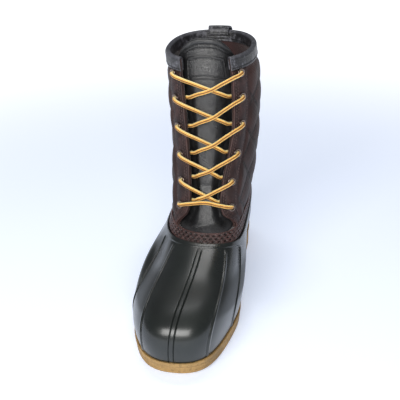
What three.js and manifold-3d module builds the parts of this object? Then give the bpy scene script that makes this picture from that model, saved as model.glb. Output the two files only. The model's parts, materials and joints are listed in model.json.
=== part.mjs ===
// Duck boot for the right foot: a moulded rubber shell on a gum sole, with a quilted shaft above it.
// Millimetres, +Z up, toe towards -Y, medial side towards +X. The boot is empty and stands on its sole.
//
// One function, `skin`, describes the last and the leg. Every wall, overlay, lace and hole is cut from it,
// at its own distance out from the skin, so the pieces follow each other when a size changes.

import * as THREE from 'three';
import { mergeVertices } from 'three/addons/utils/BufferGeometryUtils.js';
import Module from 'manifold-3d';

const wasm = await Module();
wasm.setup();

// Main sizes of the last and the leg
const LAST_LENGTH = 276;
const BALL_HALF = 48;
const RIM_HEIGHT = 65;
const COLLAR_HEIGHT = 229;
const COLLAR_DROP = 3;
const COLLAR_DEPTH = 112;
const COLLAR_WIDTH = 84;
const COLLAR_SETBACK = 61.5;
const COLLAR_SHIFT = -3;
const COLLAR_SQUARENESS = 2.3;
const COLLAR_EASE = 61;
const LEG_AIM = 0.35;

// Walls and clearances
const GAP = 0.35;
const OVERLAY_GAP = 0.55;
const LINING_GAP = 0.7;
const SHELL_WALL = 2.8;
const SHAFT_WALL = 3;
const OVERLAY_WALL = 1.5;
const TONGUE_WALL = 2.5;
const TUCK_DEPTH = 9;

// Rubber shell
const SEAM_WIDTH = 3.4;
const SEAM_HEIGHT = 0.9;
const RIM_BAND = 6;
const RIM_PROUD = 0.8;
const RIM_EDGE = 1;

// Sole
const SOLE_LEDGE = 1.5;
const CHANNEL_DEPTH = 3.4;
const CHANNEL_WIDTH = 4.4;
const CHANNEL_DRAFT = 0.15;
const BEAD_HEIGHT = 3.2;
const BEAD_EDGE = 0.8;
const WALL_STEP = 1;
const INSOLE_THICKNESS = 4;
const INSOLE_EDGE = 1;

// Leather trim
const BAND_FOOT = 0.6;
const BAND_WIDTH = 13;
const BAND_EDGE = 1.2;
const EYESTAY_WIDTH = 19;
const BINDING_OUTSIDE = 11;
const BINDING_INSIDE = 10;
const TAB_WIDTH = 26;
const TAB_WALL = 1.9;
const TAB_RISE = 5.2;
const TAB_OUTSIDE = 38;
const TAB_INSIDE = 5;

// Eyelets and lace
const EYELET_BORE = 2.3;
const EYELET_BARREL = 2.7;
const EYELET_FLANGE = 4.2;
const EYELET_CROWN = 2.5;
const EYELET_DOME = 0.9;
const EYELET_INSET = 9.5;
const EYELET_SIDES = 8;
const LACE_RADIUS = 1.8;
const LACE_TUCK = 3;
const LACE_BITE = 0.3;
const BAR_ARCH = 7;

// Tongue
const TONGUE_RISE = 19;
const TONGUE_REACH = 17;
const TONGUE_MIDDLE = 5.9;
const TONGUE_VALLEY = 9.8;
const TONGUE_FALL = 6;
const TONGUE_FOOT = 2;
const BINDING_ROOM = 4.5;

// How finely the curved skins are divided
const STEPS_BETWEEN = 3;
const SPEED_STEP = 1e-4;
const MARCH_STEPS = 8;

/** Turn rows of numbers under named columns into objects. */
function table(columns, rows) {
  return rows.map((row) => Object.fromEntries(columns.map((name, i) => [name, row[i]])));
}

// Lines that run up the skin, in order around it, from the back of the heel by the lateral side.
// foot, rim: where the line leaves the sole and passes the rim. "At" is a share of LAST_LENGTH from
// the heel, "out" a share of BALL_HALF towards medial, "up" a share of RIM_HEIGHT.
// swell, rise: how far the line first leans out and up, as shares of BALL_HALF and RIM_HEIGHT.
// lean: degrees from upright towards the leg at the rim. below, above: how long it keeps that lean,
// as shares of LAST_LENGTH and of the shaft's height. turn: degrees around the collar from its front.
// calf: how far the leg swells below the collar, as a share of half of COLLAR_WIDTH.
const LINES = table(
  ['name', 'footAt', 'footOut', 'swell', 'rise', 'rimAt', 'rimOut', 'rimUp', 'lean', 'below', 'above', 'turn', 'calf'],
  [
    ['heel', 0.0, -0.02, 0.09, 0.3, 0.014, 0.0, 1.18, 14, 0.07, 0.24, -180, -0.25],
    ['heel_lateral', 0.038, -0.47, 0.1, 0.3, 0.042, -0.48, 1.17, 12, 0.065, 0.23, -145, -0.2],
    ['ankle_lateral', 0.17, -0.69, 0.12, 0.28, 0.175, -0.71, 1.08, 9, 0.06, 0.2, -112, -0.14],
    ['waist_lateral', 0.385, -0.86, 0.3, 0.36, 0.33, -0.8, 0.98, 24, 0.07, 0.2, -83, -0.16],
    ['ball_lateral', 0.62, -0.97, 0.34, 0.54, 0.435, -0.78, 0.96, 44, 0.11, 0.17, -63, -0.1],
    ['outer_seam_lateral', 0.8, -0.97, 0.24, 0.46, 0.505, -0.69, 0.97, 48, 0.15, 0.16, -46, 0.0],
    ['inner_seam_lateral', 0.957, -0.6, 0.2, 0.66, 0.585, -0.44, 0.985, 70, 0.23, 0.165, -25, 0.05],
    ['centre', 0.999, -0.08, 0.18, 0.7, 0.625, 0.07, 1.0, 79, 0.27, 0.17, 0, 0.1],
    ['inner_seam_medial', 0.957, 0.45, 0.18, 0.66, 0.603, 0.51, 0.985, 72, 0.22, 0.165, 25, 0.07],
    ['outer_seam_medial', 0.8, 0.73, 0.15, 0.44, 0.54, 0.7, 0.96, 48, 0.14, 0.16, 46, 0.12],
    ['ball_medial', 0.66, 0.78, 0.15, 0.38, 0.445, 0.74, 0.95, 24, 0.1, 0.17, 63, 0.2],
    ['waist_medial', 0.437, 0.62, 0.12, 0.3, 0.33, 0.74, 0.98, -6, 0.065, 0.2, 83, 0.3],
    ['ankle_medial', 0.18, 0.63, 0.1, 0.28, 0.175, 0.7, 1.08, 0, 0.06, 0.2, 112, 0.16],
    ['heel_medial', 0.038, 0.43, 0.1, 0.3, 0.042, 0.46, 1.17, 10, 0.065, 0.23, 145, -0.1],
  ],
);
const SEAM_LINES = [5, 6, 7, 8, 9];
const FRONT_LINE = 7;
const BACK_LINE = 14;

// Side view of the sole. at: share of LAST_LENGTH from the heel. top and bottom: shares of SOLE_HEEL.
const SOLE_HEEL = 24;
const SOLE_PROFILE = table(
  ['at', 'top', 'bottom'],
  [
    [-0.03, 1.04, 0.08],
    [0.02, 1.02, 0.0],
    [0.25, 0.98, 0.0],
    [0.28, 0.95, 0.2],
    [0.32, 0.9, 0.3],
    [0.4, 0.77, 0.28],
    [0.47, 0.64, 0.1],
    [0.53, 0.56, 0.0],
    [0.78, 0.5, 0.0],
    [0.87, 0.51, 0.02],
    [0.95, 0.53, 0.07],
    [1.03, 0.57, 0.14],
  ],
);

// Edges of the throat. up: place on the shaft, 0 at the rim and 1 at the collar.
// lateral and medial: distances from the middle of the last as shares of THROAT_HALF.
// facing: width of the eyestay there, as a share of EYESTAY_WIDTH.
const THROAT_HALF = 24;
const THROAT = table(
  ['up', 'lateral', 'medial', 'facing'],
  [
    [0.16, -1.0, 1.3, 0.45],
    [0.21, -0.84, 1.16, 0.62],
    [0.27, -0.6, 0.84, 0.9],
    [0.36, -0.5, 0.7, 1.0],
    [0.46, -0.54, 0.77, 1.0],
    [0.57, -0.62, 0.94, 1.0],
    [0.7, -0.74, 1.08, 1.0],
    [0.86, -0.88, 1.02, 1.0],
    [1.0, -0.98, 0.9, 1.0],
  ],
);
// Rows of eyelets. up: place on the shaft. start: where the lace that comes up to this row leaves the
// throat's other edge, as a share of the way from the row below.
const EYELET_ROWS = table(
  ['up', 'start'],
  [
    [0.295, 0],
    [0.435, 0.33],
    [0.56, 0.22],
    [0.685, 0.1],
    [0.81, 0.06],
    [0.925, 0.06],
  ],
);

// Stretches of the tread whose channels leave the main lugs. from and to: shares of LAST_LENGTH.
// channels: how many cross it. slant: how far their middle lies ahead, in shares of LAST_LENGTH.
const TREAD = table(
  ['name', 'from', 'to', 'channels', 'slant'],
  [
    ['heel', 0.055, 0.225, 3, -0.018],
    ['forefoot', 0.505, 0.93, 7, 0.026],
  ],
);
const CHANNEL_ENDS = 0.06;
const CHANNEL_BENDS = 0.36;

/** Second differences of the smooth closed curve through evenly numbered values. */
function closedBends(values) {
  const n = values.length;
  const bends = new Array(n).fill(0);
  for (let pass = 0; pass < 40; pass += 1) {
    for (let i = 0; i < n; i += 1) {
      const before = (i + n - 1) % n;
      const after = (i + 1) % n;
      const turn = values[before] - 2 * values[i] + values[after];
      bends[i] = (6 * turn - bends[before] - bends[after]) / 4;
    }
  }
  return bends;
}

/** Smooth closed curve through a column of LINES, as a function of the line number. */
function closedColumn(values) {
  const n = values.length;
  const bends = closedBends(values);
  return (u) => {
    const i = Math.floor(u);
    const s = u - i;
    const r = 1 - s;
    const a = ((i % n) + n) % n;
    const b = (a + 1) % n;
    const sway = ((r ** 3 - r) * bends[a] + (s ** 3 - s) * bends[b]) / 6;
    return r * values[a] + s * values[b] + sway;
  };
}

/** Smooth open curve through a column of a table whose first column gives the place. */
function openColumn(rows, place, name) {
  return (at) => {
    const last = rows.length - 1;
    let i = 0;
    while (i < last - 1 && rows[i + 1][place] < at) i += 1;
    const slope = (a, b) => (rows[b][name] - rows[a][name]) / (rows[b][place] - rows[a][place]);
    const width = rows[i + 1][place] - rows[i][place];
    const here = slope(i, i + 1);
    const blend = (m, n) => (m * n > 0 ? (2 * m * n) / (m + n) : 0);
    const start = i > 0 ? blend(slope(i - 1, i), here) : here;
    const end = i + 1 < last ? blend(here, slope(i + 1, i + 2)) : here;
    const s = THREE.MathUtils.clamp((at - rows[i][place]) / width, 0, 1);
    const rise = rows[i + 1][name] - rows[i][name];
    const hump = s * (1 - s) * width * ((start - here) * (1 - s) - (end - here) * s);
    return rows[i][name] + rise * s + hump;
  };
}

const line = {};
for (const name of Object.keys(LINES[0]).filter((key) => key !== 'name' && key !== 'turn')) {
  line[name] = closedColumn(LINES.map((row) => row[name]));
}
// The turn grows all the way round, so its steps past even spacing are what closes on itself.
const evenTurn = (u) => (u * 360) / LINES.length - 180;
const turnExcess = closedColumn(LINES.map((row, i) => row.turn - evenTurn(i)));
const turnAt = (u) => evenTurn(u) + turnExcess(u);

const soleTopShare = openColumn(SOLE_PROFILE, 'at', 'top');
const soleBottomShare = openColumn(SOLE_PROFILE, 'at', 'bottom');
const soleTop = (t) => SOLE_HEEL * soleTopShare(t / LAST_LENGTH);
const ground = (t) => SOLE_HEEL * soleBottomShare(t / LAST_LENGTH);

/** A place t millimetres from the heel, x towards medial and z up. */
const place = (t, x, z) => new THREE.Vector3(x, -t, z);

/** The seven control points of the skin's line number u, from the sole's edge to the collar. */
function controls(u) {
  const t = line.footAt(u) * LAST_LENGTH;
  const foot = place(t, line.footOut(u) * BALL_HALF, soleTop(t) + GAP);
  const rim = place(line.rimAt(u) * LAST_LENGTH, line.rimOut(u) * BALL_HALF, line.rimUp(u) * RIM_HEIGHT);
  const turn = THREE.MathUtils.degToRad(turnAt(u));
  const power = (value) => Math.sign(value) * Math.abs(value) ** (2 / COLLAR_SQUARENESS);
  const ahead = power(Math.cos(turn));
  const aside = power(Math.sin(turn));
  const height = COLLAR_HEIGHT - COLLAR_DROP * ahead;
  const collar = place(
    COLLAR_SETBACK + (ahead * COLLAR_DEPTH) / 2,
    COLLAR_SHIFT + (aside * COLLAR_WIDTH) / 2,
    height,
  );
  const out = new THREE.Vector3(Math.sin(turn), -Math.cos(turn), 0);
  const inward = place(COLLAR_SETBACK, LEG_AIM * rim.x, rim.z).sub(rim).normalize();
  const lean = THREE.MathUtils.degToRad(line.lean(u));
  const climb = inward.multiplyScalar(Math.sin(lean)).add(new THREE.Vector3(0, 0, Math.cos(lean)));
  const swell = out.clone().multiplyScalar(line.swell(u) * BALL_HALF);
  const calf = out.clone().multiplyScalar((line.calf(u) * COLLAR_WIDTH) / 2);
  return [
    foot,
    foot.clone().add(swell).add(new THREE.Vector3(0, 0, line.rise(u) * RIM_HEIGHT)),
    rim.clone().addScaledVector(climb, -line.below(u) * LAST_LENGTH),
    rim,
    rim.clone().addScaledVector(climb, line.above(u) * (COLLAR_HEIGHT - RIM_HEIGHT)),
    collar.clone().add(calf).sub(new THREE.Vector3(0, 0, COLLAR_EASE)),
    collar,
  ];
}

/** Point of a cubic Bezier curve; past its end the curve goes on straight. */
function bezier(a, b, c, d, s) {
  if (s > 1) return d.clone().addScaledVector(d.clone().sub(c), 3 * (s - 1));
  const r = 1 - s;
  return a.clone().multiplyScalar(r ** 3)
    .addScaledVector(b, 3 * r * r * s)
    .addScaledVector(c, 3 * r * s * s)
    .addScaledVector(d, s ** 3);
}

/** The skin of the last and leg: u counts LINES, v is 0 at the sole, 1 at the rim and 2 at the collar. */
function skin(u, v) {
  const p = controls(u);
  return v <= 1 ? bezier(p[0], p[1], p[2], p[3], Math.max(v, 0)) : bezier(p[3], p[4], p[5], p[6], v - 1);
}

/** How many millimetres the skin moves per unit of u and of v. */
function skinSteps(u, v) {
  const low = v > 0.5 ? v - SPEED_STEP : v;
  const alongU = skin(u + SPEED_STEP, v).sub(skin(u - SPEED_STEP, v)).divideScalar(2 * SPEED_STEP);
  const alongV = skin(u, low + SPEED_STEP).sub(skin(u, low)).divideScalar(SPEED_STEP);
  return { alongU, alongV };
}

/** Direction straight out of the skin. At the sole's edge it stays level, so that the wall ends flat. */
function outward(u, v) {
  const { alongU, alongV } = skinSteps(u, v);
  const normal = alongU.cross(alongV);
  if (v <= 0) normal.z = 0;
  return normal.normalize();
}

/** The point at distance out from the skin. Along the sole's edge it keeps to the sole's top. */
function off(u, v, distance) {
  const point = skin(u, v).addScaledVector(outward(u, v), distance);
  if (v <= 0) point.z = soleTop(-point.y) + GAP;
  return point;
}

/** The v reached from v0 after going millimetres up the skin, or down where they are negative. */
function climbTo(u, v0, millimetres) {
  let v = v0;
  for (let i = 0; i < MARCH_STEPS; i += 1) {
    const speed = skinSteps(u, v).alongV.length();
    const half = v + millimetres / MARCH_STEPS / speed / 2;
    v += millimetres / MARCH_STEPS / skinSteps(u, half).alongV.length();
  }
  return v;
}

/** The u reached from u0 after going millimetres around the skin. */
function goAround(u0, v, millimetres) {
  let u = u0;
  for (let i = 0; i < MARCH_STEPS; i += 1) {
    const speed = skinSteps(u, v).alongU.length();
    u += millimetres / MARCH_STEPS / speed;
  }
  return u;
}

/**
 * How much the way up from one point to another winds around the leg. Faces are split along the line
 * that winds one way, so that two that lie side by side are split alike.
 */
function windsUp(p, q) {
  const way = Math.sign(q.z - p.z) || 1;
  const x = (p.x + q.x) / 2;
  const y = (p.y + q.y) / 2 + COLLAR_SETBACK;
  return way * (x * (q.y - p.y) - y * (q.x - p.x));
}

/**
 * Faces of a skin through loops of equal length. Where it isn't closed on itself, strips fill both ends:
 * they pair the places of a loop from its first one, or from the edge before it where paired is 1.
 */
function loft(loops, closed = false, paired = 0) {
  const size = loops[0].length;
  const faces = [];
  const spans = closed ? loops.length : loops.length - 1;
  const points = loops.flat();
  const at = (j, i) => (j % loops.length) * size + (i % size);
  for (let j = 0; j < spans; j += 1) {
    for (let i = 0; i < size; i += 1) {
      const [a, b, c, d] = [at(j, i), at(j, i + 1), at(j + 1, i + 1), at(j + 1, i)];
      if (windsUp(points[a], points[c]) > windsUp(points[b], points[d])) faces.push([a, b, c], [a, c, d]);
      else faces.push([a, b, d], [b, c, d]);
    }
  }
  if (!closed) {
    for (const [j, flip] of [[0, true], [loops.length - 1, false]]) {
      for (let i = 0; i < size / 2; i += 1) {
        const near = [i, i + 1, size - 1 - paired - i, size - paired - i].map((k) => at(j, k + size));
        const pair = [[near[0], near[1], near[2]], [near[0], near[2], near[3]]];
        for (const face of pair) {
          if (new Set(face).size === 3) faces.push(flip ? [...face].reverse() : face);
        }
      }
    }
  }
  const geometry = new THREE.BufferGeometry().setFromPoints(points);
  geometry.setIndex(faces.flat());
  return facingOut(geometry);
}

/** Turn every face over where the solid comes out inside out. */
function facingOut(geometry) {
  const p = geometry.getAttribute('position');
  const corners = geometry.getIndex().array;
  const [a, b, c] = [new THREE.Vector3(), new THREE.Vector3(), new THREE.Vector3()];
  let volume = 0;
  for (let i = 0; i < corners.length; i += 3) {
    a.fromBufferAttribute(p, corners[i]);
    b.fromBufferAttribute(p, corners[i + 1]);
    c.fromBufferAttribute(p, corners[i + 2]);
    volume += a.dot(b.cross(c));
  }
  if (volume < 0) geometry.setIndex(Array.from(corners).reverse());
  return geometry;
}

/** A solid that can be cut and joined, from a closed geometry. */
function solid(geometry) {
  const bare = new THREE.BufferGeometry().setAttribute('position', geometry.getAttribute('position'));
  bare.setIndex(geometry.getIndex());
  const merged = mergeVertices(bare, 1e-4);
  return new wasm.Manifold(new wasm.Mesh({
    numProp: 3,
    vertProperties: new Float32Array(merged.getAttribute('position').array),
    triVerts: new Uint32Array(merged.getIndex().array),
  }));
}

/** The geometry of a solid. */
function geometryOf(body) {
  const { vertProperties, triVerts } = body.getMesh();
  const geometry = new THREE.BufferGeometry();
  geometry.setAttribute('position', new THREE.BufferAttribute(new Float32Array(vertProperties), 3));
  geometry.setIndex(Array.from(triVerts));
  return geometry;
}

/** A wall all round the leg: rows up its outer face, then rows down its inner face. */
function ringWall(columns, outerRows, innerRows) {
  const ring = (row) => columns.map((column) => {
    const v = row.v(column);
    return off(columnAt(column, v), v, row.out(column));
  });
  return loft([...outerRows, ...innerRows].map(ring), true);
}

/** A wall with free edges: each row is a section from edge to edge, outer face then inner face. */
function stripWall(rows) {
  return loft(rows.map(({ outer, inner }) => [...outer, ...[...inner].reverse()]), false, 1);
}

/** Columns around the skin: plain ones, and three that shape each raised seam of the shell. */
function ringColumns() {
  const columns = [];
  for (let i = 0; i < LINES.length; i += 1) {
    if (SEAM_LINES.includes(i)) {
      for (const side of [-1, 0, 1]) {
        columns.push({ u: i, aside: (side * SEAM_WIDTH) / 2, seam: side === 0 });
      }
    } else {
      columns.push({ u: i, aside: 0, seam: false });
    }
    for (let k = 1; k < STEPS_BETWEEN; k += 1) {
      columns.push({ u: i + k / STEPS_BETWEEN, aside: 0, seam: false });
    }
  }
  return columns;
}

/** Where a column crosses height v of the skin. */
function columnAt(column, v) {
  return column.aside ? column.u + column.aside / skinSteps(column.u, v).alongU.length() : column.u;
}

const RING = ringColumns();
const PLAIN_RING = RING.filter((column) => column.aside === 0);

/** Rubber shell: a wall from the sole to the rim, with raised seams and a proud band at its top. */
function shellGeometry() {
  const inner = GAP;
  const outer = GAP + SHELL_WALL;
  const below = (column, millimetres) => climbTo(column.u, 1, -millimetres);
  const outerRows = [0, 0.06, 0.16, 0.29, 0.44, 0.62, 0.81, 1].map((share) => ({
    v: (column) => share * below(column, RIM_BAND + RIM_PROUD),
    out: (column) => outer + (column.seam && share > 0 && share < 1 ? SEAM_HEIGHT : 0),
  }));
  for (const [drop, lift] of [[RIM_BAND, RIM_PROUD], [RIM_EDGE, RIM_PROUD], [0, -RIM_EDGE / 2]]) {
    outerRows.push({ v: (column) => below(column, drop), out: () => outer + lift });
  }
  const innerRows = [{ v: () => 1, out: () => inner }, { v: (c) => below(c, TUCK_DEPTH), out: () => inner }];
  for (const share of [0.75, 0.52, 0.31, 0.14, 0]) {
    innerRows.push({ v: (column) => share * below(column, TUCK_DEPTH), out: () => inner });
  }
  return ringWall(RING, outerRows, innerRows);
}

// Rows from the band to the binding, closest where the instep is hollow. The shaft and what lies on it
// share them, so that their faces run side by side.
const SHAFT_SHARES = [0, 0.06, 0.13, 0.22, 0.33, 0.48, 0.7, 1];

/** Height of the band's top edge on line u. */
const bandTop = (u) => climbTo(u, 1, BAND_FOOT + BAND_WIDTH);

/** Height of one of the shared rows on line u. */
function shaftRow(u, share) {
  const top = climbTo(u, 2, -BINDING_OUTSIDE);
  return bandTop(u) + share * (top - bandTop(u));
}

/** Rows of the shaft from inside the shell to the collar. */
function shaftRows() {
  return [
    (column) => climbTo(column.u, 1, -TUCK_DEPTH),
    () => 1,
    ...SHAFT_SHARES.map((share) => (column) => shaftRow(column.u, share)),
    () => 2,
  ];
}

const throatLateral = openColumn(THROAT, 'up', 'lateral');
const throatMedial = openColumn(THROAT, 'up', 'medial');
const facingShare = openColumn(THROAT, 'up', 'facing');

/** Where the throat's edge on one side (-1 lateral, 1 medial) crosses height v. */
function throatEdge(side, v) {
  const share = side < 0 ? throatLateral(v - 1) : throatMedial(v - 1);
  const goal = share * THROAT_HALF;
  let low = FRONT_LINE;
  let high = FRONT_LINE + 3 * side;
  for (let i = 0; i < 30; i += 1) {
    const middle = (low + high) / 2;
    if (side * (skin(middle, v).x - goal) < 0) low = middle;
    else high = middle;
  }
  return low;
}

/** Height of the throat's foot, just behind the top edge of the band. */
const throatFoot = climbTo(FRONT_LINE, 1, BAND_FOOT + BAND_WIDTH - 1);

/** Everything in front of the throat, to be cut out of the shaft. */
function throatCutter() {
  const across = 3;
  const heights = 10;
  const reach = 0.04;
  const rows = [];
  for (let j = 0; j <= heights; j += 1) {
    const v = throatFoot + (2 + reach - throatFoot) * (j / heights);
    const [from, to] = [throatEdge(-1, v), throatEdge(1, v)];
    const us = Array.from({ length: across + 1 }, (_, i) => from + ((to - from) * i) / across);
    rows.push({
      outer: us.map((u) => off(u, v, 2 * SHAFT_WALL)),
      inner: us.map((u) => off(u, v, -2 * SHAFT_WALL)),
    });
  }
  return solid(stripWall(rows));
}

/** Where an eyelet sits: its place on the skin and the direction out of its bore. */
function eyeletSeat(side, up) {
  const v = 1 + up;
  const u = goAround(throatEdge(side, v), v, side * EYELET_INSET);
  return { u, v, point: skin(u, v), normal: outward(u, v) };
}

const SEATS = [-1, 1].map((side) => EYELET_ROWS.map((row) => eyeletSeat(side, row.up)));

/** A solid turned about its own axis, from radii and heights, its ends closed. */
function turned(profile) {
  const ring = new THREE.LatheGeometry(profile.map(([r, h]) => new THREE.Vector2(r, h)), EYELET_SIDES);
  ring.deleteAttribute('normal');
  ring.deleteAttribute('uv');
  return facingOut(mergeVertices(ring, 1e-4));
}

// Height of an eyelet's flange over the skin, clear of the facing that it is rolled down on.
const FLANGE_SEAT = OVERLAY_GAP + OVERLAY_WALL + GAP / 2;

/** The bore of an eyelet, with the seat that its flange presses into the facing. */
function boreCutter(seat) {
  const reach = 4 * SHAFT_WALL;
  const bar = turned([
    [0, -reach],
    [EYELET_BARREL + GAP, -reach],
    [EYELET_BARREL + GAP, FLANGE_SEAT],
    [EYELET_FLANGE + GAP, FLANGE_SEAT],
    [EYELET_FLANGE + GAP, reach],
    [0, reach],
  ]);
  bar.applyQuaternion(new THREE.Quaternion().setFromUnitVectors(THREE.Object3D.DEFAULT_UP, seat.normal));
  bar.translate(seat.point.x, seat.point.y, seat.point.z);
  return solid(bar);
}

const BORES = SEATS.map((side) => side.map(boreCutter));

/** Quilted shaft: a wall from inside the shell's rim to the collar, open at the throat. */
function shaftGeometry() {
  const rows = shaftRows();
  const outerRows = rows.map((v) => ({ v, out: () => 0 }));
  const innerRows = [...rows].reverse().map((v) => ({ v, out: () => -SHAFT_WALL }));
  let wall = solid(ringWall(PLAIN_RING, outerRows, innerRows)).subtract(throatCutter());
  for (const bore of BORES.flat()) wall = wall.subtract(bore);
  return geometryOf(wall);
}

/** Leather band around the foot of the shaft, just above the rim. */
function bandGeometry() {
  const height = (millimetres) => (column) => climbTo(column.u, 1, BAND_FOOT + millimetres);
  const outer = OVERLAY_GAP + OVERLAY_WALL;
  const rows = [
    [0, OVERLAY_GAP + OVERLAY_WALL / 2],
    [BAND_EDGE, outer],
    [BAND_WIDTH - BAND_EDGE, outer],
    [BAND_WIDTH, OVERLAY_GAP + OVERLAY_WALL / 2],
    [BAND_WIDTH, OVERLAY_GAP],
    [0, OVERLAY_GAP],
  ];
  return ringWall(PLAIN_RING, rows.map(([millimetres, out]) => ({ v: height(millimetres), out: () => out })), []);
}

/** Smooth leather facing along one edge of the throat, from the band to the binding. */
function eyestayGeometry(side) {
  const across = 4;
  const width = (v) => side * EYESTAY_WIDTH * facingShare(v - 1);
  const heights = [
    (u) => climbTo(u, 1, BAND_FOOT + BAND_WIDTH + GAP),
    ...SHAFT_SHARES.slice(1, -1).map((share) => (u) => shaftRow(u, share)),
    (u) => climbTo(u, 2, -BINDING_OUTSIDE - GAP),
  ];
  const rows = heights.map((height) => {
    const outer = [];
    const inner = [];
    for (let i = 0; i <= across; i += 1) {
      let u = throatEdge(side, height(FRONT_LINE));
      let v = height(u);
      for (let pass = 0; pass < 3; pass += 1) {
        u = goAround(throatEdge(side, v), v, (width(v) * i) / across);
        v = height(u);
      }
      outer.push(off(u, v, OVERLAY_GAP + OVERLAY_WALL));
      inner.push(off(u, v, OVERLAY_GAP));
    }
    return { outer, inner };
  });
  let strap = solid(stripWall(rows));
  for (const bore of BORES[side < 0 ? 0 : 1]) strap = strap.subtract(bore);
  return geometryOf(strap);
}

/** A strip bent over the collar's edge. Its section pairs drop below the edge with distance out. */
function collarWrap(outerPath, innerPath, shares, from, to) {
  const rows = shares.map((share) => {
    const points = (path) => path.map(([drop, out]) => {
      const rough = from(2) + share * (to(2) - from(2));
      const v = climbTo(rough, 2, -drop);
      return off(from(Math.min(v, 2)) + share * (to(Math.min(v, 2)) - from(Math.min(v, 2))), v, out);
    });
    return { outer: points(outerPath), inner: points(innerPath) };
  });
  return stripWall(rows);
}

/** Leather binding over the collar's edge, from one side of the throat round the back to the other. */
function bindingGeometry() {
  const steps = 28;
  const outside = OVERLAY_GAP + OVERLAY_WALL;
  const lining = -SHAFT_WALL - LINING_GAP;
  const inside = lining - OVERLAY_WALL;
  const middle = -SHAFT_WALL / 2;
  const outerPath = [
    [BINDING_OUTSIDE, outside],
    [0, outside],
    [-outside, middle],
    [0, inside],
    [BINDING_INSIDE, inside],
  ];
  const innerPath = [
    [BINDING_OUTSIDE, OVERLAY_GAP],
    [-OVERLAY_GAP, OVERLAY_GAP],
    [-OVERLAY_GAP, middle],
    [-OVERLAY_GAP, lining],
    [BINDING_INSIDE, lining],
  ];
  const shares = Array.from({ length: steps + 1 }, (_, i) => i / steps);
  const medial = (v) => throatEdge(1, v);
  const lateral = (v) => throatEdge(-1, v) + LINES.length;
  return collarWrap(outerPath, innerPath, shares, medial, lateral);
}

/** Pull loop over the back of the collar, outside the binding, its ends against the shaft. */
function tabGeometry() {
  const over = OVERLAY_GAP + OVERLAY_WALL + 2 * GAP;
  const under = -SHAFT_WALL - LINING_GAP - OVERLAY_WALL - GAP;
  const middle = -SHAFT_WALL / 2;
  const innerPath = [
    [TAB_OUTSIDE, LINING_GAP],
    [BINDING_OUTSIDE + 4, LINING_GAP],
    [BINDING_OUTSIDE - 2, over],
    [0, over],
    [-TAB_RISE * 0.7, over / 2],
    [-TAB_RISE, middle],
    [-TAB_RISE * 0.7, under - GAP],
    [0, under],
    [TAB_INSIDE, under],
  ];
  const outerPath = [
    [TAB_OUTSIDE, LINING_GAP + TAB_WALL],
    [BINDING_OUTSIDE + 5, LINING_GAP + TAB_WALL],
    [BINDING_OUTSIDE - 1, over + TAB_WALL],
    [0, over + TAB_WALL],
    [-TAB_RISE * 0.85 - TAB_WALL / 2, over / 2 + TAB_WALL],
    [-TAB_RISE - TAB_WALL, middle],
    [-TAB_RISE * 0.85 - TAB_WALL / 2, under - TAB_WALL],
    [0, under - TAB_WALL],
    [TAB_INSIDE, under - TAB_WALL],
  ];
  const edge = (side) => () => goAround(BACK_LINE, 2, (side * TAB_WIDTH) / 2);
  return collarWrap(outerPath, innerPath, [0, 0.25, 0.5, 0.75, 1], edge(-1), edge(1));
}

/** Bellows tongue: its edges lie on the lining, its folds dip and its middle stands up. */
function tongueGeometry() {
  const across = 12;
  const heights = 9;
  const foot = climbTo(FRONT_LINE, 1, TONGUE_FOOT);
  const ease = THREE.MathUtils.smoothstep;
  const rows = [];
  for (let j = 0; j <= heights; j += 1) {
    const outer = [];
    const inner = [];
    for (let i = 0; i <= across; i += 1) {
      const s = (2 * i) / across - 1;
      const side = s < 0 ? -1 : 1;
      const top = 2 + (TONGUE_RISE * (1 - 0.75 * s * s)) / (3 * COLLAR_EASE);
      const v = foot + (top - foot) * (j / heights);
      const edgeV = THREE.MathUtils.clamp(v, throatFoot, 2);
      const reach = Math.abs(s) * (1 + TONGUE_REACH / THROAT_HALF);
      const edge = throatEdge(side, edgeV);
      const beyond = Math.max(0, reach - 1) * THROAT_HALF;
      const u = FRONT_LINE + (edge - FRONT_LINE) * Math.min(reach, 1);
      const last = beyond > 0 ? goAround(u, edgeV, side * beyond) : u;
      const fold = (TONGUE_VALLEY - TONGUE_MIDDLE) * ease(reach, 0.35, 1) * (1 - ease(v, 1.75, 1.95));
      const seam = ease(reach, 1.25, 1 + TONGUE_REACH / THROAT_HALF);
      const free = ease(v, throatFoot, throatFoot + 0.1);
      const deep = TONGUE_MIDDLE + fold + TONGUE_FALL * ease(v, 1.8, 2.15);
      const lining = SHAFT_WALL + LINING_GAP + BINDING_ROOM * ease(v, 1.84, 1.97);
      const sink = THREE.MathUtils.lerp(deep, lining, Math.max(seam, 1 - free));
      outer.push(off(last, v, -sink));
      inner.push(off(last, v, -sink - TONGUE_WALL));
    }
    rows.push({ outer, inner });
  }
  return stripWall(rows);
}

/** Rolled eyelet: a flange on the facing and a barrel through both walls, turned about its own axis. */
function eyeletGeometry() {
  const face = FLANGE_SEAT + GAP;
  const back = -SHAFT_WALL - GAP;
  return turned([
    [EYELET_BORE, back],
    [EYELET_BARREL, back],
    [EYELET_BARREL, face],
    [EYELET_FLANGE, face],
    [EYELET_CROWN, face + EYELET_DOME],
    [EYELET_BORE, back],
  ]);
}

const STRAND_STEPS = 9;

/** A round strand through points, with flat ends. */
function strand(points) {
  const path = new THREE.CatmullRomCurve3(points, false, 'centripetal');
  const sides = 6;
  const round = new THREE.Shape();
  for (let i = 0; i < sides; i += 1) {
    const angle = (2 * Math.PI * i) / sides;
    const [x, y] = [LACE_RADIUS * Math.cos(angle), LACE_RADIUS * Math.sin(angle)];
    if (i === 0) round.moveTo(x, y);
    else round.lineTo(x, y);
  }
  return solid(new THREE.ExtrudeGeometry(round, { steps: STRAND_STEPS, extrudePath: path }));
}

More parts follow.
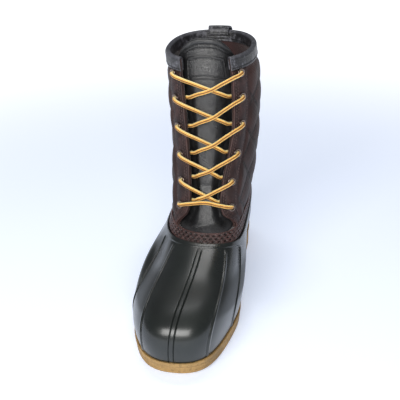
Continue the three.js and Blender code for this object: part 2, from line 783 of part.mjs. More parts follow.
// Height of a lace's middle line over the skin, from under one facing to the mouth of an eyelet.
const LACE_UNDER = -SHAFT_WALL - LINING_GAP - LACE_RADIUS;
const LACE_OVER = OVERLAY_GAP + OVERLAY_WALL + 2 * GAP + LACE_RADIUS;
const LACE_MOUTH = LACE_OVER + EYELET_DOME + 2 * GAP;
const LACE_LOW = LACE_RADIUS - TONGUE_MIDDLE + 4 * GAP;
const LACE_HIGH = LACE_LOW + 2 * LACE_RADIUS - LACE_BITE;

/** One strand of a crossing, from under one facing to the eyelet of the next row on the other side. */
function crossStrand(side, row, middle) {
  const seat = SEATS[side < 0 ? 1 : 0][row];
  const start = 1 + THREE.MathUtils.lerp(EYELET_ROWS[row - 1].up, EYELET_ROWS[row].up, EYELET_ROWS[row].start);
  const end = seat.v;
  const at = (share) => start + (end - start) * share;
  const between = (share, out) => {
    const v = at(share);
    const [from, to] = [throatEdge(side, v), throatEdge(-side, v)];
    return off(from + (to - from) * share, v, out);
  };
  return strand([
    off(goAround(throatEdge(side, start), start, side * LACE_TUCK), start, LACE_UNDER),
    between(0.06, LACE_UNDER + 2 * GAP),
    between(0.24, LACE_LOW + (middle - LACE_LOW) / 2),
    between(0.5, middle),
    between(0.76, (middle + LACE_OVER) / 2),
    between(0.97, LACE_OVER),
    off(seat.u, seat.v, LACE_MOUTH),
  ]);
}

/** Bottom bar of the lace, over both facings between the lowest eyelets. */
function barStrand() {
  const [lateral, medial] = [SEATS[0][0], SEATS[1][0]];
  const between = (share, out) => {
    const [from, to] = [throatEdge(-1, lateral.v), throatEdge(1, lateral.v)];
    const arch = BAR_ARCH * (0.3 + 0.7 * Math.sin(Math.PI * share));
    return off(from + (to - from) * share, climbTo(FRONT_LINE, lateral.v, arch), out);
  };
  return strand([
    off(lateral.u, lateral.v, LACE_MOUTH),
    between(0.02, LACE_OVER),
    between(0.26, (LACE_LOW + 2 * LACE_OVER) / 3),
    between(0.5, (2 * LACE_LOW + LACE_OVER) / 3),
    between(0.74, (LACE_LOW + 2 * LACE_OVER) / 3),
    between(0.98, LACE_OVER),
    off(medial.u, medial.v, LACE_MOUTH),
  ]);
}

/** Outline of the sole, inset from its widest edge, at heights given by a function of t. */
function soleLoop(inset, height) {
  return RING.map((column) => {
    const u = columnAt(column, 0);
    const edge = off(u, 0, GAP + SHELL_WALL + SOLE_LEDGE - inset);
    edge.z = height(-edge.y);
    return edge;
  });
}

/** How far the sole reaches to each side at a place t, measured on a loop of its outline. */
function soleSpan(loop, t) {
  const span = [0, 0];
  for (let i = 0; i < loop.length; i += 1) {
    const [a, b] = [loop[i], loop[(i + 1) % loop.length]];
    if ((a.y + t) * (b.y + t) > 0 || a.y === b.y) continue;
    const x = a.x + ((b.x - a.x) * (-t - a.y)) / (b.y - a.y);
    if (x < span[0]) span[0] = x;
    if (x > span[1]) span[1] = x;
  }
  return span;
}

/** A channel in the tread: a strip of points, each t and share across, widened ahead and behind. */
function channel(outline, route, ahead, aside) {
  const level = (lift, spread) => {
    const side = (sign) => route.map(([t, share]) => {
      const at = t + sign * ahead * spread;
      const [low, high] = soleSpan(outline, at);
      const x = THREE.MathUtils.lerp(low, high, share) + sign * aside * spread;
      return place(at, x, ground(at) + lift);
    });
    return [...side(1), ...side(-1).reverse()];
  };
  return solid(loft([level(-CHANNEL_DEPTH, 1 + CHANNEL_DRAFT), level(CHANNEL_DEPTH, 1 - CHANNEL_DRAFT)], false, 1));
}

/** Gum outsole: a stepped side, level under heel and ball, with channels that leave the main lugs. */
function outsoleGeometry() {
  let sole = solid(loft([
    soleLoop(BEAD_EDGE, soleTop),
    soleLoop(0, (t) => soleTop(t) - BEAD_EDGE),
    soleLoop(0, (t) => soleTop(t) - BEAD_HEIGHT),
    soleLoop(WALL_STEP, (t) => soleTop(t) - BEAD_HEIGHT - WALL_STEP / 2),
    soleLoop(WALL_STEP, (t) => ground(t) + WALL_STEP),
    soleLoop(2 * WALL_STEP, ground),
  ]));
  const outline = soleLoop(2 * WALL_STEP, ground);
  const bends = [CHANNEL_BENDS, 1 - CHANNEL_BENDS];
  for (const zone of TREAD) {
    const step = (zone.to - zone.from) / (zone.channels - 1);
    for (let row = 0; row < zone.channels; row += 1) {
      const side = (zone.from + row * step) * LAST_LENGTH;
      const middle = side + zone.slant * LAST_LENGTH;
      const route = [[side, CHANNEL_ENDS], [middle, bends[0]], [middle, bends[1]], [side, 1 - CHANNEL_ENDS]];
      sole = sole.subtract(channel(outline, route, CHANNEL_WIDTH / 2, 0));
    }
    for (const share of bends) {
      const route = [0, 0.5, 1].map((part) => [
        THREE.MathUtils.lerp(zone.from, zone.to, part) * LAST_LENGTH, share,
      ]);
      sole = sole.subtract(channel(outline, route, 0, CHANNEL_WIDTH / 3));
    }
  }
  return geometryOf(sole);
}

/** Footbed inside the shell, resting on the outsole. */
function insoleGeometry() {
  const loop = (inset, lift) => RING.map((column) => {
    const edge = off(columnAt(column, 0), 0, -inset);
    edge.z = soleTop(-edge.y) + GAP + lift;
    return edge;
  });
  return loft([loop(0, 0), loop(0, INSOLE_THICKNESS - INSOLE_EDGE), loop(INSOLE_EDGE, INSOLE_THICKNESS)]);
}

const MATERIALS = {
  gum: new THREE.MeshStandardMaterial({ name: 'gum_rubber', color: 0xb98e52, roughness: 0.75 }),
  rubber: new THREE.MeshStandardMaterial({ name: 'shell_rubber', color: 0x282c2a, roughness: 0.35 }),
  quilt: new THREE.MeshStandardMaterial({ name: 'quilted_textile', color: 0x3c2d2d, roughness: 0.7 }),
  brown: new THREE.MeshStandardMaterial({ name: 'brown_leather', color: 0x4b383b, roughness: 0.5 }),
  dark: new THREE.MeshStandardMaterial({ name: 'dark_leather', color: 0x2e2e31, roughness: 0.5 }),
  tongue: new THREE.MeshStandardMaterial({ name: 'tongue_leather', color: 0x323232, roughness: 0.35 }),
  foam: new THREE.MeshStandardMaterial({ name: 'footbed_foam', color: 0x3a2f2d, roughness: 0.9 }),
  metal: new THREE.MeshStandardMaterial({ name: 'gunmetal', color: 0x3f3a38, roughness: 0.35, metalness: 1 }),
  lace: new THREE.MeshStandardMaterial({ name: 'lace_cord', color: 0xe6b45a, roughness: 0.8 }),
};

const boot = new THREE.Group();

/** Add one named piece to the boot. */
function add(name, geometry, material) {
  const mesh = new THREE.Mesh(geometry, material);
  mesh.name = name;
  boot.add(mesh);
  return mesh;
}

add('outsole', outsoleGeometry(), MATERIALS.gum);
add('insole', insoleGeometry(), MATERIALS.foam);
add('shell', shellGeometry(), MATERIALS.rubber);
add('shaft', shaftGeometry(), MATERIALS.quilt);
add('stitch_band', bandGeometry(), MATERIALS.brown);
add('eyestay_lateral', eyestayGeometry(-1), MATERIALS.brown);
add('eyestay_medial', eyestayGeometry(1), MATERIALS.brown);
add('collar_binding', bindingGeometry(), MATERIALS.dark);
add('pull_tab', tabGeometry(), MATERIALS.dark);
add('tongue', tongueGeometry(), MATERIALS.tongue);

const eyelet = eyeletGeometry();
for (const [sideNumber, sideName] of ['lateral', 'medial'].entries()) {
  for (const [row, seat] of SEATS[sideNumber].entries()) {
    const mesh = add(`eyelet_${sideName}_${row + 1}`, eyelet, MATERIALS.metal);
    mesh.position.copy(seat.point);
    mesh.quaternion.setFromUnitVectors(THREE.Object3D.DEFAULT_UP, seat.normal);
  }
}

add('lace_bar', geometryOf(barStrand()), MATERIALS.lace);
for (let row = 1; row < EYELET_ROWS.length; row += 1) {
  const under = crossStrand(1, row, LACE_LOW);
  const over = crossStrand(-1, row, LACE_HIGH);
  add(`lace_cross_${row}`, geometryOf(under.add(over)), MATERIALS.lace);
}

// Origin: middle of the boot's box, on the ground
boot.updateMatrixWorld(true);
const box = new THREE.Box3().setFromObject(boot, true);
const centre = box.getCenter(new THREE.Vector3());
boot.position.set(-centre.x, -centre.y, -box.min.z);

export default boot;
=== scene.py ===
"""Looks of a duck boot for the right foot: moulded rubber, quilted textile, leather trim and a striped lace.

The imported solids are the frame. Every visible piece here is made again as a fine surface on the same
last and leg that the solids were cut from, so it lies where its solid lies. Lengths are in metres.
"""

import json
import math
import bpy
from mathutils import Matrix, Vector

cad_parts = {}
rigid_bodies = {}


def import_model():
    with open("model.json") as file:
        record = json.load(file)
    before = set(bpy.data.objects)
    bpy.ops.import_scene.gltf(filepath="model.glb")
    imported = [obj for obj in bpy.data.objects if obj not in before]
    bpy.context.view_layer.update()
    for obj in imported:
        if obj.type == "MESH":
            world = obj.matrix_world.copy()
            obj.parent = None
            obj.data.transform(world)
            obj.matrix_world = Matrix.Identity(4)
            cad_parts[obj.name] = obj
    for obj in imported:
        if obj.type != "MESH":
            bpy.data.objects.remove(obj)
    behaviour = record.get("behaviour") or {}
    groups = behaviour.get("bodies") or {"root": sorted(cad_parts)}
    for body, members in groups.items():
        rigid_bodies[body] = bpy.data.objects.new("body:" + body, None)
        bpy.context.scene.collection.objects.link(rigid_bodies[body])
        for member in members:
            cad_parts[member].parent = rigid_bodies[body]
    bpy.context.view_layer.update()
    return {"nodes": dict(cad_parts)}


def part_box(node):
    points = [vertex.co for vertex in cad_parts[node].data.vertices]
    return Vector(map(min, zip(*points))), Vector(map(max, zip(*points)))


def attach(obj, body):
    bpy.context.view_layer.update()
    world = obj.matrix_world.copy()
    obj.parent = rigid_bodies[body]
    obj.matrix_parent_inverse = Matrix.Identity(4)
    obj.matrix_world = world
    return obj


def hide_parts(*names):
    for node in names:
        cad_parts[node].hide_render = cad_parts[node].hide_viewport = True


bl_info = {
    "name": "Duck Boot",
    "version": (1, 0, 0),
    "blender": (4, 5, 0),
    "location": "View3D > Sidebar > Duck Boot",
    "description": "Builds the finished surfaces of a lace-up duck boot around its packed solids",
    "category": "Add Mesh",
}

import bpy
import numpy as np
from bpy.props import FloatProperty, FloatVectorProperty, IntProperty, PointerProperty
from mathutils import Matrix, Vector

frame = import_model()
MM = 0.001

# Last and leg, as in the solids
LAST_LENGTH = 276 * MM
BALL_HALF = 48 * MM
RIM_HEIGHT = 65 * MM
COLLAR_HEIGHT = 229 * MM
COLLAR_DROP = 3 * MM
COLLAR_DEPTH = 112 * MM
COLLAR_WIDTH = 84 * MM
COLLAR_SETBACK = 61.5 * MM
COLLAR_SHIFT = -3 * MM
COLLAR_SQUARENESS = 2.3
COLLAR_EASE = 61 * MM
LEG_AIM = 0.35
SOLE_HEEL = 24 * MM
THROAT_HALF = 24 * MM

# Walls and clearances, as in the solids
GAP = 0.35 * MM
OVERLAY_GAP = 0.55 * MM
LINING_GAP = 0.7 * MM
SHELL_WALL = 2.8 * MM
SHAFT_WALL = 3 * MM
COLLAR_WALL = 1.9 * MM
OVERLAY_WALL = 1.5 * MM
TONGUE_WALL = 2.5 * MM
TUCK_DEPTH = 9 * MM
SOLE_LEDGE = 1.5 * MM
RIM_BAND = 6 * MM
RIM_PROUD = 0.8 * MM
BEAD_HEIGHT = 3.2 * MM
WALL_STEP = 1 * MM
CHANNEL_DEPTH = 3.4 * MM
CHANNEL_WIDTH = 4.4 * MM
BAND_FOOT = 0.6 * MM
BAND_WIDTH = 13 * MM
EYESTAY_WIDTH = 19 * MM
BINDING_OUTSIDE = 11 * MM
BINDING_INSIDE = 10 * MM
TAB_WIDTH = 26 * MM
TAB_WALL = 1.9 * MM
TAB_RISE = 5.2 * MM
TAB_OUTSIDE = 38 * MM
TAB_INSIDE = 5 * MM
EYELET_BORE = 2.3 * MM
EYELET_BARREL = 2.7 * MM
EYELET_FLANGE = 4.2 * MM
EYELET_DOME = 0.9 * MM
EYELET_INSET = 9.5 * MM
LACE_RADIUS = 1.8 * MM
TONGUE_RISE = 19 * MM
TONGUE_REACH = 17 * MM
TONGUE_MIDDLE = 5.9 * MM
TONGUE_VALLEY = 9.8 * MM
TONGUE_FALL = 6 * MM
TONGUE_FOOT = 2 * MM
BINDING_ROOM = 4.5 * MM

# Lengths of the fine pieces, around and up
LEG_GIRTH = 318 * MM
SHAFT_SPAN = 310 * MM
COLLAR_SPAN = 290 * MM
LEG_HEIGHT = 165 * MM
FACING_HEIGHT = 140 * MM
TONGUE_SPAN = 82 * MM
TONGUE_HEIGHT = 170 * MM

# Blank embossed frame on the tongue: half width as a share, height, and drop of its middle from the top
LABEL_HALF = 0.56
LABEL_HIGH = 16 * MM
LABEL_DROP = 22 * MM

# Lines of the skin that run up the toe and the heel, and those that carry a moulded seam
FRONT_LINE = 7
BACK_LINE = 14
SEAM_LINES = (5, 6, 7, 8, 9)


def table(columns, rows):
    """Rows of numbers under named columns, as one array for each column."""
    return {name: np.array([row[i] for row in rows]) for i, name in enumerate(columns.split())}


# Lines that run up the skin, from the back of the heel by the lateral side. "At" is a share of
# LAST_LENGTH, "Out" of BALL_HALF towards medial, "Up" and rise of RIM_HEIGHT.
LINES = table(
    "footAt footOut swell rise rimAt rimOut rimUp lean below above turn calf",
    [
        [0.0, -0.02, 0.09, 0.3, 0.014, 0.0, 1.18, 14, 0.07, 0.24, -180, -0.25],
        [0.038, -0.47, 0.1, 0.3, 0.042, -0.48, 1.17, 12, 0.065, 0.23, -145, -0.2],
        [0.17, -0.69, 0.12, 0.28, 0.175, -0.71, 1.08, 9, 0.06, 0.2, -112, -0.14],
        [0.385, -0.86, 0.3, 0.36, 0.33, -0.8, 0.98, 24, 0.07, 0.2, -83, -0.16],
        [0.62, -0.97, 0.34, 0.54, 0.435, -0.78, 0.96, 44, 0.11, 0.17, -63, -0.1],
        [0.8, -0.97, 0.24, 0.46, 0.505, -0.69, 0.97, 48, 0.15, 0.16, -46, 0.0],
        [0.957, -0.6, 0.2, 0.66, 0.585, -0.44, 0.985, 70, 0.23, 0.165, -25, 0.05],
        [0.999, -0.08, 0.18, 0.7, 0.625, 0.07, 1.0, 79, 0.27, 0.17, 0, 0.1],
        [0.957, 0.45, 0.18, 0.66, 0.603, 0.51, 0.985, 72, 0.22, 0.165, 25, 0.07],
        [0.8, 0.73, 0.15, 0.44, 0.54, 0.7, 0.96, 48, 0.14, 0.16, 46, 0.12],
        [0.66, 0.78, 0.15, 0.38, 0.445, 0.74, 0.95, 24, 0.1, 0.17, 63, 0.2],
        [0.437, 0.62, 0.12, 0.3, 0.33, 0.74, 0.98, -6, 0.065, 0.2, 83, 0.3],
        [0.18, 0.63, 0.1, 0.28, 0.175, 0.7, 1.08, 0, 0.06, 0.2, 112, 0.16],
        [0.038, 0.43, 0.1, 0.3, 0.042, 0.46, 1.17, 10, 0.065, 0.23, 145, -0.1],
    ],
)
LINE_COUNT = 14

# Heights of the sole's upper face and its tread as shares of SOLE_HEEL, by share of LAST_LENGTH
SOLE_PROFILE = table(
    "at top bottom",
    [
        [-0.03, 1.04, 0.08],
        [0.02, 1.02, 0.0],
        [0.25, 0.98, 0.0],
        [0.28, 0.95, 0.2],
        [0.32, 0.9, 0.3],
        [0.4, 0.77, 0.28],
        [0.47, 0.64, 0.1],
        [0.53, 0.56, 0.0],
        [0.78, 0.5, 0.0],
        [0.87, 0.51, 0.02],
        [0.95, 0.53, 0.07],
        [1.03, 0.57, 0.14],
    ],
)

# By share of the way from rim to collar: both edges of the throat from the middle, as shares of
# THROAT_HALF, and the width of the facings as a share of EYESTAY_WIDTH
THROAT = table(
    "up lateral medial facing",
    [
        [0.16, -1.0, 1.3, 0.45],
        [0.21, -0.84, 1.16, 0.62],
        [0.27, -0.6, 0.84, 0.9],
        [0.36, -0.5, 0.7, 1.0],
        [0.46, -0.54, 0.77, 1.0],
        [0.57, -0.62, 0.94, 1.0],
        [0.7, -0.74, 1.08, 1.0],
        [0.86, -0.88, 1.02, 1.0],
        [1.0, -0.98, 0.9, 1.0],
    ],
)

# Share of the way from rim to collar of each pair of eyelets, and how far from the pair below the
# lace to it starts
EYELET_ROWS = table(
    "up start",
    [[0.295, 0], [0.435, 0.33], [0.56, 0.22], [0.685, 0.1], [0.81, 0.06], [0.925, 0.06]],
)


def ease(value, low, high):
    """0 below low, 1 above high, and smooth between them."""
    share = np.clip((value - low) / (high - low), 0, 1)
    return share * share * (3 - 2 * share)


def fade(value, low, high):
    """1 below low, 0 above high, and smooth between them."""
    return 1 - ease(value, low, high)


def bell(distance, width, power=2):
    """1 at no distance, a little over a third at the width, and nothing far from it."""
    return np.exp(-((distance / width) ** power))


def to_end(share):
    """How far a share from 0 to 1 is from the nearer end."""
    return np.minimum(share, 1 - share)


def run_along(points):
    """How far each point of a polyline lies from its start."""
    return np.concatenate([[0], np.cumsum(np.linalg.norm(np.diff(points, axis=0), axis=1))])


def closed_column(values):
    """Smooth closed curve through evenly numbered values, as a function of the line number."""
    count = len(values)
    near = np.roll(np.eye(count), 1, 0) + np.roll(np.eye(count), -1, 0)
    turns = np.roll(values, 1) - 2 * values + np.roll(values, -1)
    bends = np.linalg.solve(4 * np.eye(count) + near, 6 * turns)

    def at(u):
        base = np.floor(u)
        s = u - base
        r = 1 - s
        a = base.astype(int) % count
        b = (a + 1) % count
        return r * values[a] + s * values[b] + ((r**3 - r) * bends[a] + (s**3 - s) * bends[b]) / 6

    return at


def open_column(places, values):
    """Smooth curve through values at rising places, without overshoot."""
    slopes = np.diff(values) / np.diff(places)

    def blend(m, n):
        """The slope at a place between two stretches."""
        return 2 * m * n / (m + n) if m * n > 0 else 0

    ends = [slopes[0], *[blend(m, n) for m, n in zip(slopes[:-1], slopes[1:])], slopes[-1]]
    ends = np.array(ends)

    def at(place):
        i = np.clip(np.searchsorted(places, place) - 1, 0, len(slopes) - 1)
        width = places[i + 1] - places[i]
        s = np.clip((place - places[i]) / width, 0, 1)
        here = slopes[i]
        hump = s * (1 - s) * width * ((ends[i] - here) * (1 - s) - (ends[i + 1] - here) * s)
        return values[i] + (values[i + 1] - values[i]) * s + hump

    return at


line = {name: closed_column(values) for name, values in LINES.items() if name != "turn"}
EVEN_TURN = 360 / LINE_COUNT
turn_excess = closed_column(LINES["turn"] + 180 - EVEN_TURN * np.arange(LINE_COUNT))
sole_top_share = open_column(SOLE_PROFILE["at"], SOLE_PROFILE["top"])
ground_share = open_column(SOLE_PROFILE["at"], SOLE_PROFILE["bottom"])
throat_share = {
    -1: open_column(THROAT["up"], THROAT["lateral"]),
    1: open_column(THROAT["up"], THROAT["medial"]),
}
facing_share = open_column(THROAT["up"], THROAT["facing"])


def turn_at(u):
    """Degrees around the collar from its front."""
    return EVEN_TURN * u - 180 + turn_excess(u)


def sole_top(t):
    """Height of the sole's upper face, t from the heel."""
    return SOLE_HEEL * sole_top_share(t / LAST_LENGTH)


def ground(t):
    """Height of the sole's tread, t from the heel."""
    return SOLE_HEEL * ground_share(t / LAST_LENGTH)


def point(t, x, z):
    """A place t from the heel, x towards medial and z up."""
    t, x, z = np.broadcast_arrays(t, x, z)
    return np.stack([x, -t, z], -1)


def unit(vector):
    """Vectors of length 1 along the last axis."""
    return vector / np.maximum(np.linalg.norm(vector, axis=-1, keepdims=True), 1e-12)


def controls(u):
    """The seven control points of the skin's line u, from the sole's edge to the collar."""
    t = line["footAt"](u) * LAST_LENGTH
    foot = point(t, line["footOut"](u) * BALL_HALF, sole_top(t) + GAP)
    rim_x = line["rimOut"](u) * BALL_HALF
    rim = point(line["rimAt"](u) * LAST_LENGTH, rim_x, line["rimUp"](u) * RIM_HEIGHT)
    turn = np.radians(turn_at(u))
    ahead = np.sign(np.cos(turn)) * np.abs(np.cos(turn)) ** (2 / COLLAR_SQUARENESS)
    aside = np.sign(np.sin(turn)) * np.abs(np.sin(turn)) ** (2 / COLLAR_SQUARENESS)
    collar = point(
        COLLAR_SETBACK + ahead * COLLAR_DEPTH / 2,
        COLLAR_SHIFT + aside * COLLAR_WIDTH / 2,
        COLLAR_HEIGHT - COLLAR_DROP * ahead,
    )
    out = np.stack([np.sin(turn), -np.cos(turn), 0 * turn], -1)
    inward = unit(point(COLLAR_SETBACK, LEG_AIM * rim[..., 0], rim[..., 2]) - rim)
    lean = np.radians(line["lean"](u))[..., None]
    climb = inward * np.sin(lean) + np.array([0, 0, 1]) * np.cos(lean)

    def along(name, scale, way):
        """A step of a table's column along a way."""
        return (line[name](u) * scale)[..., None] * way

    up = np.array([0.0, 0.0, 1.0])
    return [
        foot,
        foot + along("swell", BALL_HALF, out) + along("rise", RIM_HEIGHT, up),
        rim - along("below", LAST_LENGTH, climb),
        rim,
        rim + along("above", COLLAR_HEIGHT - RIM_HEIGHT, climb),
        collar + along("calf", COLLAR_WIDTH / 2, out) - COLLAR_EASE * up,
        collar,
    ]


def skin(u, v):
    """The skin of the last and leg: u counts LINES, v is 0 at the sole, 1 at the rim, 2 at the collar."""
    u, v = np.broadcast_arrays(np.asarray(u, float), np.asarray(v, float))
    p = controls(u)
    low = (v <= 1)[..., None]
    s = np.where(low, np.maximum(v, 0)[..., None], v[..., None] - 1)
    a, b, c, d = [np.where(low, p[k], p[k + 3]) for k in range(4)]
    past = np.maximum(s - 1, 0)
    s = np.minimum(s, 1)
    r = 1 - s
    curve = a * r**3 + 3 * b * r * r * s + 3 * c * r * s * s + d * s**3
    return curve + (d - c) * 3 * past


def skin_steps(u, v):
    """How many metres the skin moves per unit of u and of v."""
    u, v = np.broadcast_arrays(np.asarray(u, float), np.asarray(v, float))
    tiny = 1e-4
    low = np.where(v > 0.5, v - tiny, v)
    along_u = (skin(u + tiny, v) - skin(u - tiny, v)) / (2 * tiny)
    along_v = (skin(u, low + tiny) - skin(u, low)) / tiny
    return along_u, along_v


def outward(u, v):
    """Direction straight out of the skin, level along the sole's edge."""
    along_u, along_v = skin_steps(u, v)
    normal = np.cross(along_u, along_v)
    normal[..., 2] = np.where(np.broadcast_to(v, normal.shape[:-1]) <= 0, 0, normal[..., 2])
    return unit(normal)


def off(u, v, distance):
    """The point at distance out from the skin. Along the sole's edge it keeps to the sole's top."""
    u, v, distance = np.broadcast_arrays(np.asarray(u, float), np.asarray(v, float), distance)
    place = skin(u, v) + outward(u, v) * distance[..., None]
    place[..., 2] = np.where(v <= 0, sole_top(-place[..., 1]) + GAP, place[..., 2])
    return place


def climb_to(u, v0, distance):
    """The v reached from v0 after going a distance up the skin, or down where it is negative."""
    u, v, distance = np.broadcast_arrays(np.asarray(u, float), np.asarray(v0, float), distance)
    v = v.copy()
    steps = 8
    for _ in range(steps):
        speed = np.linalg.norm(skin_steps(u, v)[1], axis=-1)
        half = v + distance / steps / speed / 2
        v += distance / steps / np.linalg.norm(skin_steps(u, half)[1], axis=-1)
    return v


def go_around(u0, v, distance):
    """The u reached from u0 after going a distance around the skin."""
    u, v, distance = np.broadcast_arrays(np.asarray(u0, float), np.asarray(v, float), distance)
    u = u.copy()
    steps = 8
    for _ in range(steps):
        u += distance / steps / np.linalg.norm(skin_steps(u, v)[0], axis=-1)
    return u


def find_throat_edge(side, v):
    """Where the throat's edge on one side (-1 lateral, 1 medial) crosses height v."""
    goal = throat_share[side](v - 1) * THROAT_HALF
    low = np.full_like(v, FRONT_LINE)
    high = low + 3 * side
    for _ in range(30):
        middle = (low + high) / 2
        short = side * (skin(middle, v)[..., 0] - goal) < 0
        low = np.where(short, middle, low)
        high = np.where(short, high, middle)
    return low


EDGE_HEIGHTS = np.linspace(1.02, 2, 240)
EDGES = {side: find_throat_edge(side, EDGE_HEIGHTS) for side in (-1, 1)}


def throat_edge(side, v):
    """The u of the throat's edge on one side at height v."""
    return np.interp(v, EDGE_HEIGHTS, EDGES[side])


THROAT_FOOT = float(climb_to(FRONT_LINE, 1, BAND_FOOT + BAND_WIDTH - 1 * MM))

# Where the last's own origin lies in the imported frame
LOOP = np.linspace(0, LINE_COUNT, 400, endpoint=False)
INSOLE_LOW, INSOLE_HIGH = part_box("insole")
FOOT_LOOP = skin(LOOP, 0)
ORIGIN = np.array(
    [
        (INSOLE_LOW.x + INSOLE_HIGH.x) / 2 - (FOOT_LOOP[:, 0].min() + FOOT_LOOP[:, 0].max()) / 2,
        (INSOLE_LOW.y + INSOLE_HIGH.y) / 2 - (FOOT_LOOP[:, 1].min() + FOOT_LOOP[:, 1].max()) / 2,
        0.0,
    ]
)


def linear(red, green, blue):
    """A colour read from a screen, 0 to 255, as the light that it stands for."""
    values = [c / 255 for c in (red, green, blue)]
    return tuple(c / 12.92 if c <= 0.04045 else ((c + 0.055) / 1.055) ** 2.4 for c in values)


def paint(name, description, red, green, blue):
    """A colour that can be set, from 0 to 255 at first."""
    colour = linear(red, green, blue)
    return FloatVectorProperty(
        name=name, description=description, default=colour, size=3, min=0, max=1, subtype="COLOR"
    )


def measure(name, description, default):
    """A length that can be set."""
    return FloatProperty(name=name, description=description, default=default, unit="LENGTH")


class BootColours(bpy.types.PropertyGroup):
    """Colours of the boot's materials."""

    rubber: paint("Shell rubber", "Moulded shell", 18, 22, 19)
    gum: paint("Gum rubber", "Outsole", 166, 132, 80)
    quilt: paint("Quilted textile", "Shaft", 47, 30, 27)
    brown: paint("Brown leather", "Stitched band and facings", 43, 28, 26)
    dark: paint("Dark leather", "Collar binding and pull tab", 38, 38, 41)
    tongue: paint("Tongue leather", "Tongue", 30, 30, 31)
    lining: paint("Lining", "Inside of the shaft", 52, 29, 28)
    lace: paint("Lace", "Ground colour of the lace", 240, 178, 72)
    lace_stripe: paint("Lace stripe", "Dark stripe in the lace", 96, 48, 14)
    metal: paint("Eyelets", "Rolled metal eyelets", 84, 74, 68)
    thread: paint("Thread", "Stitches of the band and edges", 70, 49, 46)


class BootSizes(bpy.types.PropertyGroup):
    """Sizes of the boot's fine forms, which the solids leave plain."""

    puff: measure("Quilt puff", "How far a quilted diamond stands out", 2.5 * MM)
    diamond_width: measure("Diamond width", "Quilting pitch around the leg", 31 * MM)
    diamond_height: measure("Diamond height", "Quilting pitch up the leg", 37 * MM)
    ridge: measure("Seam ridge", "Height of the shell's moulded seams", 0.9 * MM)
    band_stitch: measure("Band stitch", "Pitch of the stitches in the band", 5.8 * MM)
    edge_stitch: measure("Edge stitch", "Pitch of the stitches along edges", 2.9 * MM)
    steps: IntProperty(
        name="Fineness", description="Columns between two lines of the skin", default=18, min=6, max=30
    )


class Wire:
    """A socket in a material, so that shader maths reads as maths."""

    def __init__(self, finish, socket):
        self.finish = finish
        self.socket = socket

    def maths(self, operation, *values):
        return self.finish.node("ShaderNodeMath", {"operation": operation}, *values)

    def __add__(self, other):
        return self.maths("ADD", self, other)

    def __sub__(self, other):
        return self.maths("SUBTRACT", self, other)

    def __rsub__(self, other):
        return self.maths("SUBTRACT", other, self)

    def __mul__(self, other):
        return self.maths("MULTIPLY", self, other)

    __radd__ = __add__
    __rmul__ = __mul__

    def sine(self):
        return self.maths("SINE", self)

    def between(self, low, high, to_low=0.0, to_high=1.0):
        """This value moved smoothly from one range to another, and kept inside it."""
        settings = {"interpolation_type": "SMOOTHSTEP", "clamp": True}
        return self.finish.node("ShaderNodeMapRange", settings, self, low, high, to_low, to_high)


class Finish:
    """One material and the nodes that it is made of."""

    def __init__(self, name):
        self.material = bpy.data.materials.new(name)
        self.material.use_nodes = True
        self.tree = self.material.node_tree
        self.shader = self.tree.nodes["Principled BSDF"]
        self.place = self.node("ShaderNodeTexCoord", {}, output="Object")

    def node(self, kind, settings, *values, output=0, **named):
        """Add a node: its settings first, then the values or links of its sockets."""
        made = self.tree.nodes.new(kind)
        for key, value in settings.items():
            setattr(made, key, value)
        for key, value in [*enumerate(values), *named.items()]:
            target = made.inputs[key.replace("_", " ") if isinstance(key, str) else key]
            self.join(value, target)
        return Wire(self, made.outputs[output])

    def join(self, value, target):
        """Link a wire to a socket, or set the socket's value. None leaves it as it is."""
        if isinstance(value, Wire):
            self.tree.links.new(value.socket, target)
        elif value is not None:
            target.default_value = value

    def set(self, **values):
        """Set sockets of the surface shader."""
        for key, value in values.items():
            self.join(value, self.shader.inputs[key.replace("_", " ")])

    def stretched(self, x, y, z):
        """Object coordinates scaled along each axis."""
        return self.node("ShaderNodeMapping", {}, Vector=self.place, Scale=(x, y, z))

    def noise(self, scale, detail=3.0, rough=0.5, where=None):
        """Cloudy noise of a scale per metre."""
        sockets = {"Vector": where or self.place, "Scale": scale, "Detail": detail, "Roughness": rough}
        return self.node("ShaderNodeTexNoise", {}, **sockets)

    def cells(self, scale):
        """Distance to the edges of a pattern of cells."""
        settings = {"feature": "DISTANCE_TO_EDGE"}
        return self.node("ShaderNodeTexVoronoi", settings, Vector=self.place, Scale=scale)

    def surface(self, name):
        """One number that the mesh carries at each point."""
        return self.node("ShaderNodeAttribute", {"attribute_name": name}, output="Fac")

    def across(self, name):
        """The piece's own map: how far around and how far up."""
        chart = self.node("ShaderNodeUVMap", {"uv_map": name})
        return [self.node("ShaderNodeSeparateXYZ", {}, chart, output=k) for k in (0, 1)]

    def blend(self, share, first, second):
        """Mix two colours."""
        colours = [value if isinstance(value, Wire) else (*value, 1.0) for value in (first, second)]
        other_kinds = [None] * 5
        return self.node("ShaderNodeMix", {"data_type": "RGBA"}, share, *other_kinds, *colours, output=2)

    def bump(self, height, distance, strength=1.0, under=None):
        """Relief of a height in metres, over other relief."""
        sockets = {"Strength": strength, "Distance": distance, "Height": height, "Normal": under}
        return self.node("ShaderNodeBump", {}, **sockets)


def shade(colour, factor):
    """A colour made lighter or darker."""
    return tuple(min(1.0, c * factor) for c in colour)


